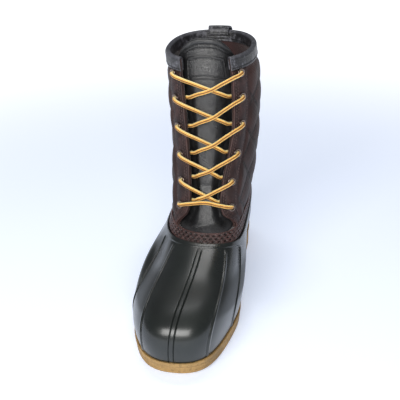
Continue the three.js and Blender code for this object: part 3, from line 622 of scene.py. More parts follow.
def rubber_finish(colours):
    """Satin moulded rubber, nearly black, with a faint bloom and fine scuffs."""
    f = Finish("moulded_rubber")
    cloud = f.noise(26, 4, 0.6)
    bloom = f.noise(9, 3, 0.55)
    tone = f.blend(cloud.between(0.35, 0.75), shade(colours.rubber, 0.8), shade(colours.rubber, 1.5))
    tone = f.blend(bloom.between(0.5, 0.8) * 0.35, tone, shade(colours.rubber, 2.6))
    grain = f.noise(1500, 2, 0.6)
    dents = f.noise(60, 3, 0.5)
    scuff = f.noise(1.0, 4, 0.6, f.stretched(60, 420, 60)).between(0.62, 0.8)
    swell = f.bump(f.surface("rise"), 1.0)
    dull = f.surface("dull")
    f.set(
        Base_Color=tone,
        Roughness=0.26 + cloud.between(0.3, 0.8) * 0.07 + scuff * 0.06 + dull * 0.16,
        Normal=f.bump(grain * 0.08 + dents * 0.8, 0.0001, 0.35, swell),
        Coat_Weight=0.35 - dull * 0.3,
        Coat_Roughness=0.18,
    )
    return f.material


def gum_finish(colours):
    """Gum rubber: matt, tan, a little cloudy, with painted shade in its grooves and its tread channels."""
    f = Finish("gum_rubber")
    cloud = f.noise(30, 5, 0.6)
    speck = f.noise(900, 2, 0.6)
    tone = f.blend(cloud.between(0.3, 0.75), shade(colours.gum, 0.66), shade(colours.gum, 1.15))
    tone = f.blend(f.noise(420, 3, 0.7).between(0.5, 0.62) * 0.55, tone, shade(colours.gum, 0.45))
    tone = f.blend(speck.between(0.62, 0.75) * 0.4, tone, shade(colours.gum, 1.5))
    # Painted shade where the shade number is set: grooves and tread channels
    tone = f.blend(f.surface("shade") * 0.75, tone, shade(colours.gum, 0.3))
    f.set(
        Base_Color=tone,
        Roughness=0.62 + cloud * 0.12,
        Normal=f.bump(speck + cloud * 0.6, 0.00012, 0.6),
    )
    return f.material


def leather_finish(name, base, grain, gloss, wear_and_highlight_level, soft=1.0, pale=3.4, shine=0.5):
    """Full-grain leather: pebbles and pores, uneven dye, painted shade in the grooves between pebbles and
    where the shade number says, and paler where the edge number says: edges pale from use, and painted
    highlight on spots that a piece marks.

    grain is the pebbles' fineness, gloss the roughness, wear how much shows paler (blotches and the places
    the edge number marks), soft the depth of the creases, pale the blotches' lightness and shine the
    specular level.
    """
    f = Finish(name)
    pebbles = f.cells(520 * grain)
    pores = f.noise(1700 * grain, 2, 0.6)
    creases = f.noise(150, 5, 0.65, f.stretched(1, 1, 0.45))
    cloud = f.noise(38, 4, 0.6)
    # The edge number: edges pale from use, and painted highlight on spots that a piece marks
    wear_and_highlight_mask = f.surface("edge")
    highlight_and_wear = (wear_and_highlight_mask * (0.35 + cloud * 0.9)).between(0.25, 0.9)
    tone = f.blend(cloud.between(0.3, 0.72), shade(base, 0.62), shade(base, 1.4))
    # Painted shade in the grooves between the pebbles
    tone = f.blend(pebbles.between(0.0, 0.12, 1.0, 0.0) * 0.35, tone, shade(base, 0.35))
    blotch = f.noise(150, 5, 0.72).between(0.48, 0.62)
    tone = f.blend(blotch * wear_and_highlight_level * 0.55, tone, shade(base, pale))
    tone = f.blend(highlight_and_wear * wear_and_highlight_level, tone, shade(base, 4.2))
    # Painted shade in stitch holes, grooves and seams, where the shade number is set
    tone = f.blend(f.surface("shade"), tone, shade(base, 0.22))
    height = pebbles.between(0.0, 0.25) * 0.5 + pores * 0.25 + creases * 1.4 * soft
    f.set(
        Base_Color=tone,
        Roughness=gloss + cloud.between(0.3, 0.8) * 0.14 - highlight_and_wear * 0.06,
        Normal=f.bump(height, 0.00028, 0.7),
        Specular_IOR_Level=shine,
    )
    return f.material


def quilt_finish(colours):
    """Quilted textile: a fine twill, with paler thread and painted shade along its puckered stitch lines."""
    f = Finish("quilted_textile")
    around, up = f.across("map")
    diagonal = (around + up) * 1650
    counter = (around - up) * 620
    twill = diagonal.sine() * 0.5 + 0.5
    slub = f.noise(420, 3, 0.6, f.stretched(1, 1, 2.2))
    cloud = f.noise(30, 4, 0.6)
    valley = f.surface("valley")
    pucker = f.noise(330, 3, 0.6)
    base = f.blend(cloud.between(0.3, 0.72), shade(colours.quilt, 0.72), shade(colours.quilt, 1.8))
    base = f.blend(twill * 0.25 + slub.between(0.4, 0.7) * 0.2, base, shade(colours.quilt, 0.55))
    # Painted shade in the valleys along the stitch lines
    base = f.blend(valley.between(0.25, 0.9) * 0.85, base, shade(colours.quilt, 0.2))
    thread = f.surface("thread")
    base = f.blend(thread * 0.5, base, shade(colours.quilt, 1.5))
    height = twill * 0.2 + counter.sine() * 0.05 + slub * 0.35 + pucker * valley * 2.6 + thread * 1.2
    f.set(
        Base_Color=base,
        Roughness=0.56 + slub * 0.16,
        Normal=f.bump(height, 0.00045, 0.9),
        Sheen_Weight=0.05,
        Sheen_Roughness=0.4,
        Specular_IOR_Level=0.3,
    )
    return f.material


def lining_finish(colours):
    """Brushed lining: short pile with no shine."""
    f = Finish("brushed_lining")
    pile = f.noise(1300, 3, 0.7)
    cloud = f.noise(45, 4, 0.6)
    tone = f.blend(cloud.between(0.3, 0.7), shade(colours.lining, 0.7), shade(colours.lining, 1.35))
    tone = f.blend(pile.between(0.45, 0.7) * 0.4, tone, shade(colours.lining, 0.5))
    f.set(Base_Color=tone, Roughness=0.92, Normal=f.bump(pile + cloud, 0.0005, 0.8), Sheen_Weight=0.4)
    return f.material


def lace_finish(colours):
    """Round braided lace: brown tracers and pale stripes along golden strands, the pale ones also a painted
    highlight.
    """
    f = Finish("braided_lace")
    around, along = f.across("map")
    facing = (around * (2 * math.tau) + along * 7 + math.tau / 4).sine()
    right = (along * 2900 + around * (4 * math.tau)).sine()
    left = (along * 2900 - around * (4 * math.tau)).sine()
    weave = f.node("ShaderNodeMath", {"operation": "MAXIMUM"}, right, left)
    tracer = facing.between(0.66, 0.9)
    # Pale stripes along both sides of the strand, also standing for painted highlight
    pale_stripe_and_highlight = facing.between(-0.9, 0.35, 1.0, 0.0)
    cloud = f.noise(300, 3, 0.6)
    tone = f.blend(cloud.between(0.35, 0.7), shade(colours.lace, 0.85), shade(colours.lace, 1.1))
    tone = f.blend(pale_stripe_and_highlight * 0.85, tone, linear(255, 238, 170))
    tone = f.blend(tracer * 0.92, tone, tuple(colours.lace_stripe))
    # Painted shade in the hollows of the braid
    tone = f.blend(weave.between(-0.9, -0.1, 1.0, 0.0) * 0.35, tone, shade(colours.lace_stripe, 0.8))
    f.set(
        Base_Color=tone,
        Roughness=0.5,
        Normal=f.bump(weave.between(-1, 1) + cloud * 0.3 - tracer * 0.8, 0.0003, 0.7),
        Sheen_Weight=0.15,
    )
    return f.material


def metal_finish(colours):
    """Gunmetal eyelets, with painted highlight on their crowns."""
    f = Finish("rolled_gunmetal")
    cloud = f.noise(700, 3, 0.6)
    # Painted highlight on the crowns, which the edge number marks
    highlight_and_wear = (f.surface("edge") + cloud * 0.3).between(0.55, 1.1)
    tone = f.blend(highlight_and_wear * 0.7, tuple(colours.metal), shade(colours.metal, 3.0))
    f.set(Base_Color=tone, Metallic=1.0, Roughness=0.16 + cloud * 0.12, Normal=f.bump(cloud, 0.00008, 0.5))
    return f.material


def thread_finish(name, colour):
    """Waxed sewing thread."""
    f = Finish(name)
    twist = f.noise(1600, 2, 0.6)
    tone = f.blend(twist.between(0.35, 0.7), shade(colour, 0.6), shade(colour, 1.5))
    f.set(Base_Color=tone, Roughness=0.5, Normal=f.bump(twist, 0.00015, 0.8))
    return f.material


def floor_finish():
    """White sweep that glows as painted light: a little and bluish near the boot as painted shade, more and
    whiter far away, as a lit backdrop does.
    """
    f = Finish("studio_floor")
    reach = f.node("ShaderNodeVectorMath", {"operation": "LENGTH"}, f.place, output="Value")
    far = reach.between(0.3, 1.5)
    # Painted light: the glow, bluish and dim near the boot for painted shade, white far off
    glow = f.blend(far, linear(134, 145, 166), linear(248, 248, 248))
    f.set(Base_Color=(*linear(236, 240, 246), 1), Roughness=0.8, Emission_Color=glow, Emission_Strength=1.0)
    return f.material


def finish_of(context, name):
    """The material of a name, made when it is first asked for."""
    if name in bpy.data.materials:
        return bpy.data.materials[name]
    colours = context.scene.boot_colours
    leathers = {
        "oiled_leather": (colours.brown, 1.0, 0.44, 0.5, 1.0, 4.0, 0.3),
        "band_leather": (shade(colours.brown, 1.7), 1.0, 0.34, 0.6),
        "binding_leather": (colours.dark, 0.9, 0.36, 1.3, 1.3, 8.0),
        "bellows_leather": (colours.tongue, 1.1, 0.27, 0.5, 0.6),
    }
    threads = {"waxed_thread": colours.thread, "dark_thread": shade(colours.dark, 0.3)}
    others = {
        "moulded_rubber": rubber_finish,
        "gum_rubber": gum_finish,
        "quilted_textile": quilt_finish,
        "brushed_lining": lining_finish,
        "braided_lace": lace_finish,
        "rolled_gunmetal": metal_finish,
    }
    if name in leathers:
        return leather_finish(name, *leathers[name])
    if name in threads:
        return thread_finish(name, threads[name])
    return others[name](colours)


def deselect():
    """Leave nothing selected, since the loaded solids start out selected."""
    for obj in bpy.context.selected_objects:
        obj.select_set(False)


def close_up(merge=0):
    """Merge the doubled points of the active mesh and turn its faces outward."""
    bpy.ops.object.mode_set(mode="EDIT")
    bpy.ops.mesh.select_all(action="SELECT")
    if merge:
        bpy.ops.mesh.remove_doubles(threshold=merge)
    bpy.ops.mesh.normals_make_consistent(inside=False)
    bpy.ops.object.mode_set(mode="OBJECT")


def woven(name, columns, rows, place, closed_along=False):
    """A plane grid, bent round onto the boot and joined to itself across, and along where asked.

    place gets column and row numbers. It gives a dict of points, map (around and up), lap (how far
    the map goes once around) where that isn't 0, and numbers that the finish reads, by name.
    """
    deselect()
    bpy.ops.mesh.primitive_grid_add(x_subdivisions=columns, y_subdivisions=rows, size=1)
    obj = bpy.context.active_object
    obj.name = name
    obj.data.name = name
    mesh = obj.data
    flat = np.zeros(len(mesh.vertices) * 3)
    mesh.vertices.foreach_get("co", flat)
    flat = flat.reshape(-1, 3)
    i = np.rint((flat[:, 0] + 0.5) * columns).astype(int)
    j = np.rint((flat[:, 1] + 0.5) * rows).astype(int)
    form = place(i % columns, j % rows if closed_along else j)
    mesh.vertices.foreach_set("co", (form.pop("points") + ORIGIN).astype(np.float32).ravel())
    chart = form.pop("map")
    corners = np.zeros(len(mesh.loops), int)
    mesh.loops.foreach_get("vertex_index", corners)
    chart[i == columns, 0] += form.pop("lap", 0)
    layer = mesh.uv_layers[0]
    layer.name = "map"
    layer.data.foreach_set("uv", chart[corners].astype(np.float32).ravel())
    for key, values in form.items():
        attribute = mesh.attributes.new(key, "FLOAT", "POINT")
        attribute.data.foreach_set("value", np.broadcast_to(values, i.shape).astype(np.float32))
    mesh.update()
    close_up(0.02 * MM)
    return obj


def dress(context, obj, materials, nodes=(), smooth=50):
    """Give a piece its finish and its smooth shading, hang it on the root body and hide the solids that it
    stands for.
    """
    obj.data.materials.clear()
    for name in materials:
        obj.data.materials.append(finish_of(context, name))
    deselect()
    obj.select_set(True)
    context.view_layer.objects.active = obj
    bpy.ops.object.shade_smooth_by_angle(angle=math.radians(smooth))
    obj.select_set(False)
    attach(obj, "root")
    if nodes:
        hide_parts(*nodes)


def rounded(distance, radius):
    """Half thickness of a rounded edge, as a share, at a distance from that edge."""
    return np.sqrt(np.clip(1 - (1 - np.clip(distance / radius, 0, 1)) ** 2, 0, 1))


def edged(count, length, radius):
    """Stations from 0 to 1 along a length: even ones, and closer ones round each edge."""
    near = radius * np.array([0, 0.06, 0.2, 0.45, 0.8]) / length
    first = radius * 1.2 / length
    return np.concatenate([near, np.linspace(first, 1 - first, count), 1 - near[::-1]])


def there_and_back(stations):
    """Stations around a section: along its outer face, then back along its inner face."""
    both = np.concatenate([stations, stations[::-1][1:-1]])
    side = np.concatenate([np.ones(len(stations)), -np.ones(len(stations) - 2)])
    side[[0, len(stations) - 1]] = 0
    return both, side


def leaf(context, name, across, along, place, slot, materials, nodes):
    """A wall with rounded free edges. place gets shares across and along and the side, out or in."""
    shares, sides = there_and_back(across)

    def form(i, j):
        return place(shares[i], along[j], sides[i])

    obj = woven(name, len(shares), len(along) - 1, form)
    dress(context, obj, materials, nodes, 60)


def stitch_run(context, name, centres, ways, normals, length, radius, material, slot, sink=0.25):
    """Sewn stitches: one rounded stitch, copied to each place, turned along its row."""
    deselect()
    bpy.ops.mesh.primitive_uv_sphere_add(segments=8, ring_count=5, radius=1)
    model = bpy.context.active_object
    corners = np.array([v.co for v in model.data.vertices])
    faces = [list(p.vertices) for p in model.data.polygons]
    bpy.data.objects.remove(model)
    ways = unit(ways - normals * np.sum(ways * normals, -1, keepdims=True))
    sides = np.cross(normals, ways)
    stretch = np.sign(corners[:, 2]) * np.abs(corners[:, 2]) ** 0.6
    lying = (
        ways[:, None] * (stretch * length / 2)[None, :, None]
        + sides[:, None] * (corners[:, 0] * radius)[None, :, None]
        + normals[:, None] * (corners[:, 1] * radius - sink * radius)[None, :, None]
    )
    points = (centres[:, None] + lying + ORIGIN).reshape(-1, 3)
    starts = [k * len(corners) for k in range(len(centres))]
    mesh = bpy.data.meshes.new(name)
    mesh.from_pydata(points.tolist(), [], [[v + start for v in face] for start in starts for face in faces])
    obj = bpy.data.objects.new(name, mesh)
    context.collection.objects.link(obj)
    context.view_layer.objects.active = obj
    close_up()
    dress(context, obj, [material], smooth=80)


def walk(points, run, at):
    """Places on a polyline, at distances from its start."""
    return np.stack([np.interp(at, run, points[:, k]) for k in range(points.shape[1])], -1)


def sewn_row(context, name, u, v, out, pitch, length, radius, material, slot):
    """Stitches along a row given by skin places u and v, at a height out from the skin."""
    points = off(u, v, out)
    run = run_along(points)
    at = np.arange(pitch * 0.5, run[-1] - pitch * 0.25, pitch)
    centres = walk(points, run, at)
    ways = walk(points, run, at + pitch * 0.2) - centres
    normals = outward(np.interp(at, run, u), np.interp(at, run, v))
    stitch_run(context, name, centres, ways, normals, length, radius, material, slot)


class BOOT_OT_shell(bpy.types.Operator):
    """Mould the rubber shell with its seams and rim"""

    bl_idname = "boot.shell"
    bl_label = "Rubber Shell"

    def execute(self, context):
        sizes = context.scene.boot_sizes
        # Seams get a fan of close columns of their own, so many shares of this width to each side
        wide = 3.1 * MM
        half = np.array([0.1, 0.2, 0.31, 0.43, 0.53, 0.6, 0.66, 0.72, 0.79, 0.88, 1])
        asides = np.concatenate([-half[::-1], [0], half]) * wide
        stations = []
        for k in range(LINE_COUNT):
            if k in SEAM_LINES:
                stations += [(k, 0.0, a, 1) for a in asides]
            else:
                stations.append((k, 0.0, 0.0, 0))
            stations += [(k, m / sizes.steps, 0.0, 0) for m in range(1, sizes.steps)]
        base, share, aside, seam = [np.array(column, float) for column in zip(*stations)]
        columns = len(base)

        def around(i, v):
            """Skin place of column i at height v, kept clear of the seams' own columns."""
            low, high = base[i], base[i] + 1
            speed_low = np.linalg.norm(skin_steps(low, v)[0], axis=-1)
            speed_high = np.linalg.norm(skin_steps(high, v)[0], axis=-1)
            starts = low + np.isin(low % LINE_COUNT, SEAM_LINES) * wide / speed_low
            ends = high - np.isin(high % LINE_COUNT, SEAM_LINES) * wide / speed_high
            plain = starts + (ends - starts) * share[i]
            edge = low + aside[i] / speed_low
            return np.where((seam[i] > 0) | (share[i] == 0), edge, plain)

        # Swell of the shading near the rim, read by the finish as a relief
        heights = np.linspace(0, 1, 200)
        slopes = 0.26 * ease(heights, 0.6, 0.82)
        climbs = np.cumsum(slopes) * heights[1]
        reach = np.linalg.norm(skin_steps(base + share, 0.7)[1], axis=-1)

        def relief(distance, number):
            """Height of a moulded seam: a ridge, or on the centre line a strip between two grooves."""
            ridge = 0.85 * bell(distance, 1.3 * MM)
            lateral = np.where(number < FRONT_LINE, 1, -1)
            ridge = ridge - 0.35 * bell(distance - lateral * 2.0 * MM, 0.55 * MM)
            far = np.abs(distance)
            strip = 0.3 * fade(far, 1.3 * MM, 1.9 * MM) - 0.75 * bell(far - 2.05 * MM, 0.36 * MM)
            return sizes.ridge * np.where(number == FRONT_LINE, strip, ridge)

        # Rows up the outer wall, over the rim by their drop from its top, across it and down inside
        wall = np.concatenate([[0, 0.003, 0.008, 0.016], np.linspace(0.03, 1, 62)])
        rim = np.array([6.6, 6.3, 6.05, 5.8, 5.3, 4.2, 3.0, 1.8, 1.0, 0.5, 0.2, 0.05]) * MM
        crown = np.linspace(1, 0, 7)[1:]
        inside = np.linspace(0, 1, 16)[1:]
        outer = GAP + SHELL_WALL
        full = len(wall) + len(rim) + len(crown) + len(inside)

        def form(i, j):
            u0 = base[i] + share[i]
            rim_v = climb_to(u0, 1, -(RIM_BAND + RIM_PROUD + 0.2 * MM))
            on_wall = j < len(wall)
            row = np.clip(j, 0, len(wall) - 1)
            v = np.where(on_wall, wall[row] * rim_v, 1)
            foot = 0.6 * MM * (1 - rounded(wall[row] * 0.09, 1.2 * MM))
            out = np.where(on_wall, outer - foot, outer)
            free = ease(wall[row], 0.0, 0.02) * fade(wall[row], 0.965, 0.995)
            out = out + np.where(on_wall & (seam[i] > 0), relief(aside[i], base[i]) * free, 0)
            on_rim = (j >= len(wall)) & (j < len(wall) + len(rim))
            below = rim[np.clip(j - len(wall), 0, len(rim) - 1)]
            v = np.where(on_rim, climb_to(u0, 1, -below), v)
            swell = RIM_PROUD * fade(below, 5.5 * MM, 6.6 * MM)
            lip = 1.1 * MM * (1 - rounded(below, 1.1 * MM))
            out = np.where(on_rim, outer + swell - lip, out)
            start = len(wall) + len(rim)
            on_crown = (j >= start) & (j < start + len(crown))
            part = crown[np.clip(j - start, 0, len(crown) - 1)]
            out = np.where(on_crown, GAP + (outer + RIM_PROUD - 1.1 * MM - GAP) * part, out)
            start += len(crown)
            within = j >= start
            depth = inside[np.clip(j - start, 0, len(inside) - 1)]
            v = np.where(within, 1 - depth, v)
            out = np.where(within, GAP, out)
            u = around(i, np.clip(v, 0, 1))
            return {
                "points": off(u, v, out),
                "map": np.stack([u * 0.03, v * 0.12], -1),
                "lap": LINE_COUNT * 0.03,
                "rise": reach[i] * np.interp(v, heights, climbs),
                "dull": ease(v, 0.3, 0.38) * fade(v, 0.66, 0.8),
            }

        obj = woven("rubber_shell", columns, full, form, closed_along=True)
        dress(context, obj, ["moulded_rubber"], ["shell"], 60)
        return {"FINISHED"}


class BOOT_OT_outsole(bpy.types.Operator):
    """Mould the gum outsole with its stepped side and lugs"""

    bl_idname = "boot.outsole"
    bl_label = "Gum Outsole"

    def outline(self, inset):
        """Sole outline at an inset: heel and toe ends, and both sides against t."""
        around = np.linspace(0, LINE_COUNT, 900, endpoint=False)
        loop = off(around, 0, GAP + SHELL_WALL + SOLE_LEDGE - inset)
        t, x = -loop[:, 1], loop[:, 0]
        heel, toe = t.argmin(), t.argmax()
        first, last = sorted((heel, toe))
        halves = [np.arange(first, last + 1), np.r_[last : len(t), 0 : first + 1]]
        sides = []
        for half in halves:
            order = half[np.argsort(t[half])]
            sides.append((t[order], x[order]))
        sides.sort(key=lambda side: side[1].mean())
        return t[heel], t[toe], sides

    def tread(self, t, share):
        """Depth of the channels that leave the lugs, 0 to 1, at a place on the sole."""
        deep = np.zeros(np.broadcast(t, share).shape)
        across = np.abs(share - 0.5)
        inside = fade(across, 0.425, 0.445)
        # Heel and forefoot: from and to as shares of the last's length, channels across, and slant
        for start, end, count, slant in ((0.055, 0.225, 3, -0.018), (0.505, 0.93, 7, 0.026)):
            bent = slant * fade(across, 0.14, 0.44)
            step = (end - start) / (count - 1)
            place = t / LAST_LENGTH - bent
            near = np.abs(place - start - step * np.clip(np.rint((place - start) / step), 0, count - 1))
            cut = fade(near * LAST_LENGTH, CHANNEL_WIDTH * 0.42, CHANNEL_WIDTH * 0.56)
            deep = np.maximum(deep, cut * inside)
            zone = ease(place, start - 0.002, start + 0.002) * fade(place, end - 0.002, end + 0.002)
            rail = fade(np.abs(across - 0.14) * 0.088, CHANNEL_WIDTH * 0.3, CHANNEL_WIDTH * 0.42)
            deep = np.maximum(deep, rail * zone)
        return deep

    def execute(self, context):
        along = 0.5 - 0.5 * np.cos(np.linspace(0, math.pi, 420))
        # Inset from the outline and drop below the sole's top, down to the groove under the bead
        bead = [
            (0.9, -0.15), (0.35, -0.1), (0.1, 0.25), (0, 0.8), (0, 2.4), (0.12, 2.95),
            (0.45, 3.2), (1.35, 3.35), (1.45, 3.6), (1.2, 4.0), (1.0, 4.6),
        ]
        # Inset and height above the ground, down to the tread
        lower = [
            (1.0, 4.2), (1.0, 3.5), (1.28, 3.3), (1.28, 3.0), (1.0, 2.8),
            (1.0, 1.6), (1.1, 0.8), (1.35, 0.3), (1.9, 0.0),
        ]
        section = [(2 * MM, share, "top", 0.0) for share in (0.5, 1.0)]
        rise = [(inset * MM, 1.0, "top", drop * MM) for inset, drop in bead]
        rise += [(inset * MM, 1.0, "low", lift * MM) for inset, lift in lower]
        section += rise
        bottom = np.linspace(1, 0, 112)[1:-1]
        section += [(2 * WALL_STEP, s, "low", 0.0) for s in bottom]
        section += [(inset, 0.0, kind, drop) for inset, _, kind, drop in rise[::-1]]
        section += [(2 * MM, 0.0, "top", 0.0)]
        inset, share, kind, level = [np.array(column) for column in zip(*section)]
        outlines = {d: self.outline(d) for d in np.unique(inset)}
        rows = len(along)
        columns = len(section)
        x = np.zeros((columns, rows))
        t = np.zeros((columns, rows))
        for k in range(columns):
            heel, toe, (left, right) = outlines[inset[k]]
            t[k] = heel + (toe - heel) * along
            low, high = np.interp(t[k], *left), np.interp(t[k], *right)
            x[k] = low + (high - low) * share[k]

        def form(i, j):
            tt, xx = t[i, j], x[i, j]
            top, base = sole_top(tt), ground(tt)
            under = (kind[i] == "low") & (level[i] == 0.0)
            deep = np.where(under, self.tread(tt, share[i]), 0)
            room = np.maximum(top - BEAD_HEIGHT - base - 1.2 * MM, 1 * MM)
            lift = np.minimum(level[i], room)
            z = np.where(kind[i] == "top", top - level[i], base + lift + deep * CHANNEL_DEPTH)
            # The groove under the bead and the tread channels are given painted shade through the shade
            # number
            groove = bell(level[i] - 3.5 * MM, 0.5 * MM) * (kind[i] == "top")
            return {
                "points": np.stack([xx, -tt, z], -1),
                "map": np.stack([tt, z], -1),
                "shade": np.clip(groove * 0.8 + deep * 0.5, 0, 1),
            }

        obj = woven("gum_outsole", columns, rows - 1, form)
        dress(context, obj, ["gum_rubber"], ["outsole"], 40)
        return {"FINISHED"}


class BOOT_OT_shaft(bpy.types.Operator):
    """Quilt the shaft and line it"""

    bl_idname = "boot.shaft"
    bl_label = "Quilted Shaft"

    def execute(self, context):
        sizes = context.scene.boot_sizes
        stations = edged(250, SHAFT_SPAN, SHAFT_WALL / 2)
        heights = np.concatenate([[THROAT_FOOT - 0.012], np.linspace(THROAT_FOOT - 0.01, 1.996, 128), [2]])
        spread = []
        for v in heights:
            u = throat_edge(1, v) + (throat_edge(-1, v) + LINE_COUNT - throat_edge(1, v)) * stations
            spread.append(run_along(skin(u, v)))
        spread = np.array(spread)
        shares, sides = there_and_back(stations)
        column_of = np.concatenate([np.arange(len(stations)), np.arange(len(stations))[::-1][1:-1]])
        sampled = np.linspace(0, LINE_COUNT, 57)
        band_top = climb_to(sampled, 1, BAND_FOOT + BAND_WIDTH)

        def form(i, j):
            v = heights[j]
            start, end = throat_edge(1, v), throat_edge(-1, v) + LINE_COUNT
            u = start + (end - start) * shares[i]
            from_medial = spread[j, column_of[i]]
            from_edge = np.minimum(from_medial, spread[j, -1] - from_medial)
            place = skin(u, v)
            around = (turn_at(u % LINE_COUNT) % 360) / 360 * LEG_GIRTH
            across, up = around / sizes.diamond_width, place[:, 2] / sizes.diamond_height
            a, b = across + up, across - up
            hill = np.abs(np.sin(math.pi * a) * np.sin(math.pi * b))
            foot = np.interp(u % LINE_COUNT, sampled, band_top)
            low = (v - foot) * LEG_HEIGHT
            high = (2 - v) * LEG_HEIGHT
            facing = EYESTAY_WIDTH * facing_share(v - 1)
            free = (
                ease(from_edge, facing - 1 * MM, facing + 8 * MM)
                * ease(low, -0.5 * MM, 7 * MM)
                * ease(high, BINDING_OUTSIDE - 1 * MM, BINDING_OUTSIDE + 7 * MM)
            )
            folds = np.sin(place[:, 2] * 95 + 3 * np.sin(around * 31) + 2 * np.sin(around * 67 + 1))
            sway = np.sin(around * 57 + place[:, 2] * 40) * np.sin(place[:, 2] * 61 + 1.3)
            puff = sizes.puff * (0.18 + 0.95 * hill**0.42 + 0.17 * folds + 0.2 * sway) * free
            lines = np.minimum(np.abs(a - np.rint(a)), np.abs(b - np.rint(b)))
            # Stitch-line valleys: the finish puckers them and paints shade in them
            valley = bell(lines, 0.07) * free
            thread = bell(lines, 0.014) * free
            ticks = np.sin(place[:, 2] * 2 * math.pi / (3.4 * MM))
            wall = SHAFT_WALL + (COLLAR_WALL - SHAFT_WALL) * fade(high, 10 * MM, 22 * MM)
            half = wall / 2 * rounded(from_edge, SHAFT_WALL / 2)
            outer = sides[i] >= 0
            out = -wall / 2 + np.where(outer, half + puff, -half)
            return {
                "points": off(u, v, out),
                "map": np.stack([around, place[:, 2]], -1),
                "valley": valley,
                "thread": thread * ease(ticks, -0.2, 0.4),
            }

        obj = woven("quilted_shaft", len(shares), len(heights) - 1, form)
        dress(context, obj, ["quilted_textile", "brushed_lining"], ["shaft"], 60)
        self.line_inside(obj)
        self.foot(context)
        return {"FINISHED"}

    def line_inside(self, obj):
        """Faces that look towards the leg's middle get the lining."""
        mesh = obj.data
        middle = np.array([COLLAR_SHIFT, -COLLAR_SETBACK, 0]) + ORIGIN
        inner = []
        for face in mesh.polygons:
            away = np.array(face.center) - middle
            inner.append(1 if away[0] * face.normal.x + away[1] * face.normal.y < 0 else 0)
        mesh.polygons.foreach_set("material_index", inner)

    def foot(self, context):
        """The part that is tucked inside the rim, under the band."""
        climbs = [-TUCK_DEPTH, 0, BAND_WIDTH]
        up = np.array([*climbs, *climbs[::-1]])
        out = np.repeat([0, -SHAFT_WALL], 3)
        count = LINE_COUNT * 8

        def form(i, j):
            u = i / 8
            v = climb_to(u, 1, up[j])
            return {"points": off(u, v, out[j]), "map": np.stack([u, v], -1), "lap": LINE_COUNT}

        obj = woven("shaft_foot", count, len(up), form, closed_along=True)
        dress(context, obj, ["brushed_lining"])


class BOOT_OT_band(bpy.types.Operator):
    """Sew the brown band around the shaft's foot"""

    bl_idname = "boot.band"
    bl_label = "Stitched Band"
    rows = (3.1 * MM, 6.6 * MM, 10.1 * MM)

    def execute(self, context):
        sizes = context.scene.boot_sizes
        fine = 64
        count = LINE_COUNT * fine
        u_all = np.arange(count) / fine
        middle = off(u_all, climb_to(u_all, 1, BAND_FOOT + BAND_WIDTH / 2), OVERLAY_GAP + OVERLAY_WALL)
        steps = np.linalg.norm(np.diff(middle, axis=0, append=middle[:1]), axis=1)
        run = np.concatenate([[0], np.cumsum(steps)[:-1]])
        length = steps.sum()
        pitch = length / round(length / sizes.band_stitch)
        up = edged(34, BAND_WIDTH, 0.9 * MM)
        ups, sides = there_and_back(up)

        def relief(height, along):
            """Puckered leather: a groove along each row, pulled deep at each hole."""
            low = np.zeros(np.broadcast(height, along).shape)
            for number, row in enumerate(self.rows):
                near = bell(height - row, 0.95 * MM, 4)
                phase = ((along / pitch + 0.5 * (number % 2)) % 1.0) - 0.5
                hole = bell(phase * pitch, 1.3 * MM, 4)
                low = low + near * (0.1 * MM + 1.2 * MM * hole)
            return low

        def form(i, j):
            height = ups[j] * BAND_WIDTH
            side = sides[j]
            u = u_all[i]
            along = run[i]
            from_edge = np.minimum(height, BAND_WIDTH - height)
            half = OVERLAY_WALL / 2 * rounded(from_edge, OVERLAY_WALL * 0.6)
            swell = 0.45 * MM * np.sin(math.pi * height / BAND_WIDTH)
            sunk = relief(height, along)
            out = np.where(side >= 0, half + (swell - sunk) * (side > 0), -half)
            out = np.maximum(OVERLAY_GAP + OVERLAY_WALL / 2 + out, OVERLAY_GAP + 0.02 * MM)
            v = climb_to(u, 1, BAND_FOOT + height)
            edge = fade(from_edge, 0, 1.6 * MM)
            return {
                "points": off(u, v, out),
                "map": np.stack([along, height], -1),
                "lap": length,
                "edge": edge * (side >= 0),
                # Painted shade in the stitch holes and along the rows
                "shade": np.clip(sunk / (0.9 * MM), 0, 1) ** 2 * (side > 0),
            }

        obj = woven("stitched_band", count, len(ups), form, closed_along=True)
        dress(context, obj, ["band_leather"], ["stitch_band"], 60)
        centres, ways, normals = [], [], []
        for number, row in enumerate(self.rows):
            at = (np.arange(round(length / pitch)) + 0.5 * (number % 2)) * pitch
            u = np.interp(at % length, np.append(run, length), np.append(u_all, LINE_COUNT))
            v = climb_to(u, 1, BAND_FOOT + row)
            lift = OVERLAY_GAP + OVERLAY_WALL + 0.25 * MM
            centres.append(off(u, v, lift))
            ways.append(skin(u + 0.01, v) - skin(u - 0.01, v))
            normals.append(outward(u, v))
        places = [np.concatenate(group) for group in (centres, ways, normals)]
        stitch = (pitch * 0.46, 0.85 * MM, "waxed_thread", "brown_leather", 0.3)
        stitch_run(context, "band_stitches", *places, *stitch)
        return {"FINISHED"}


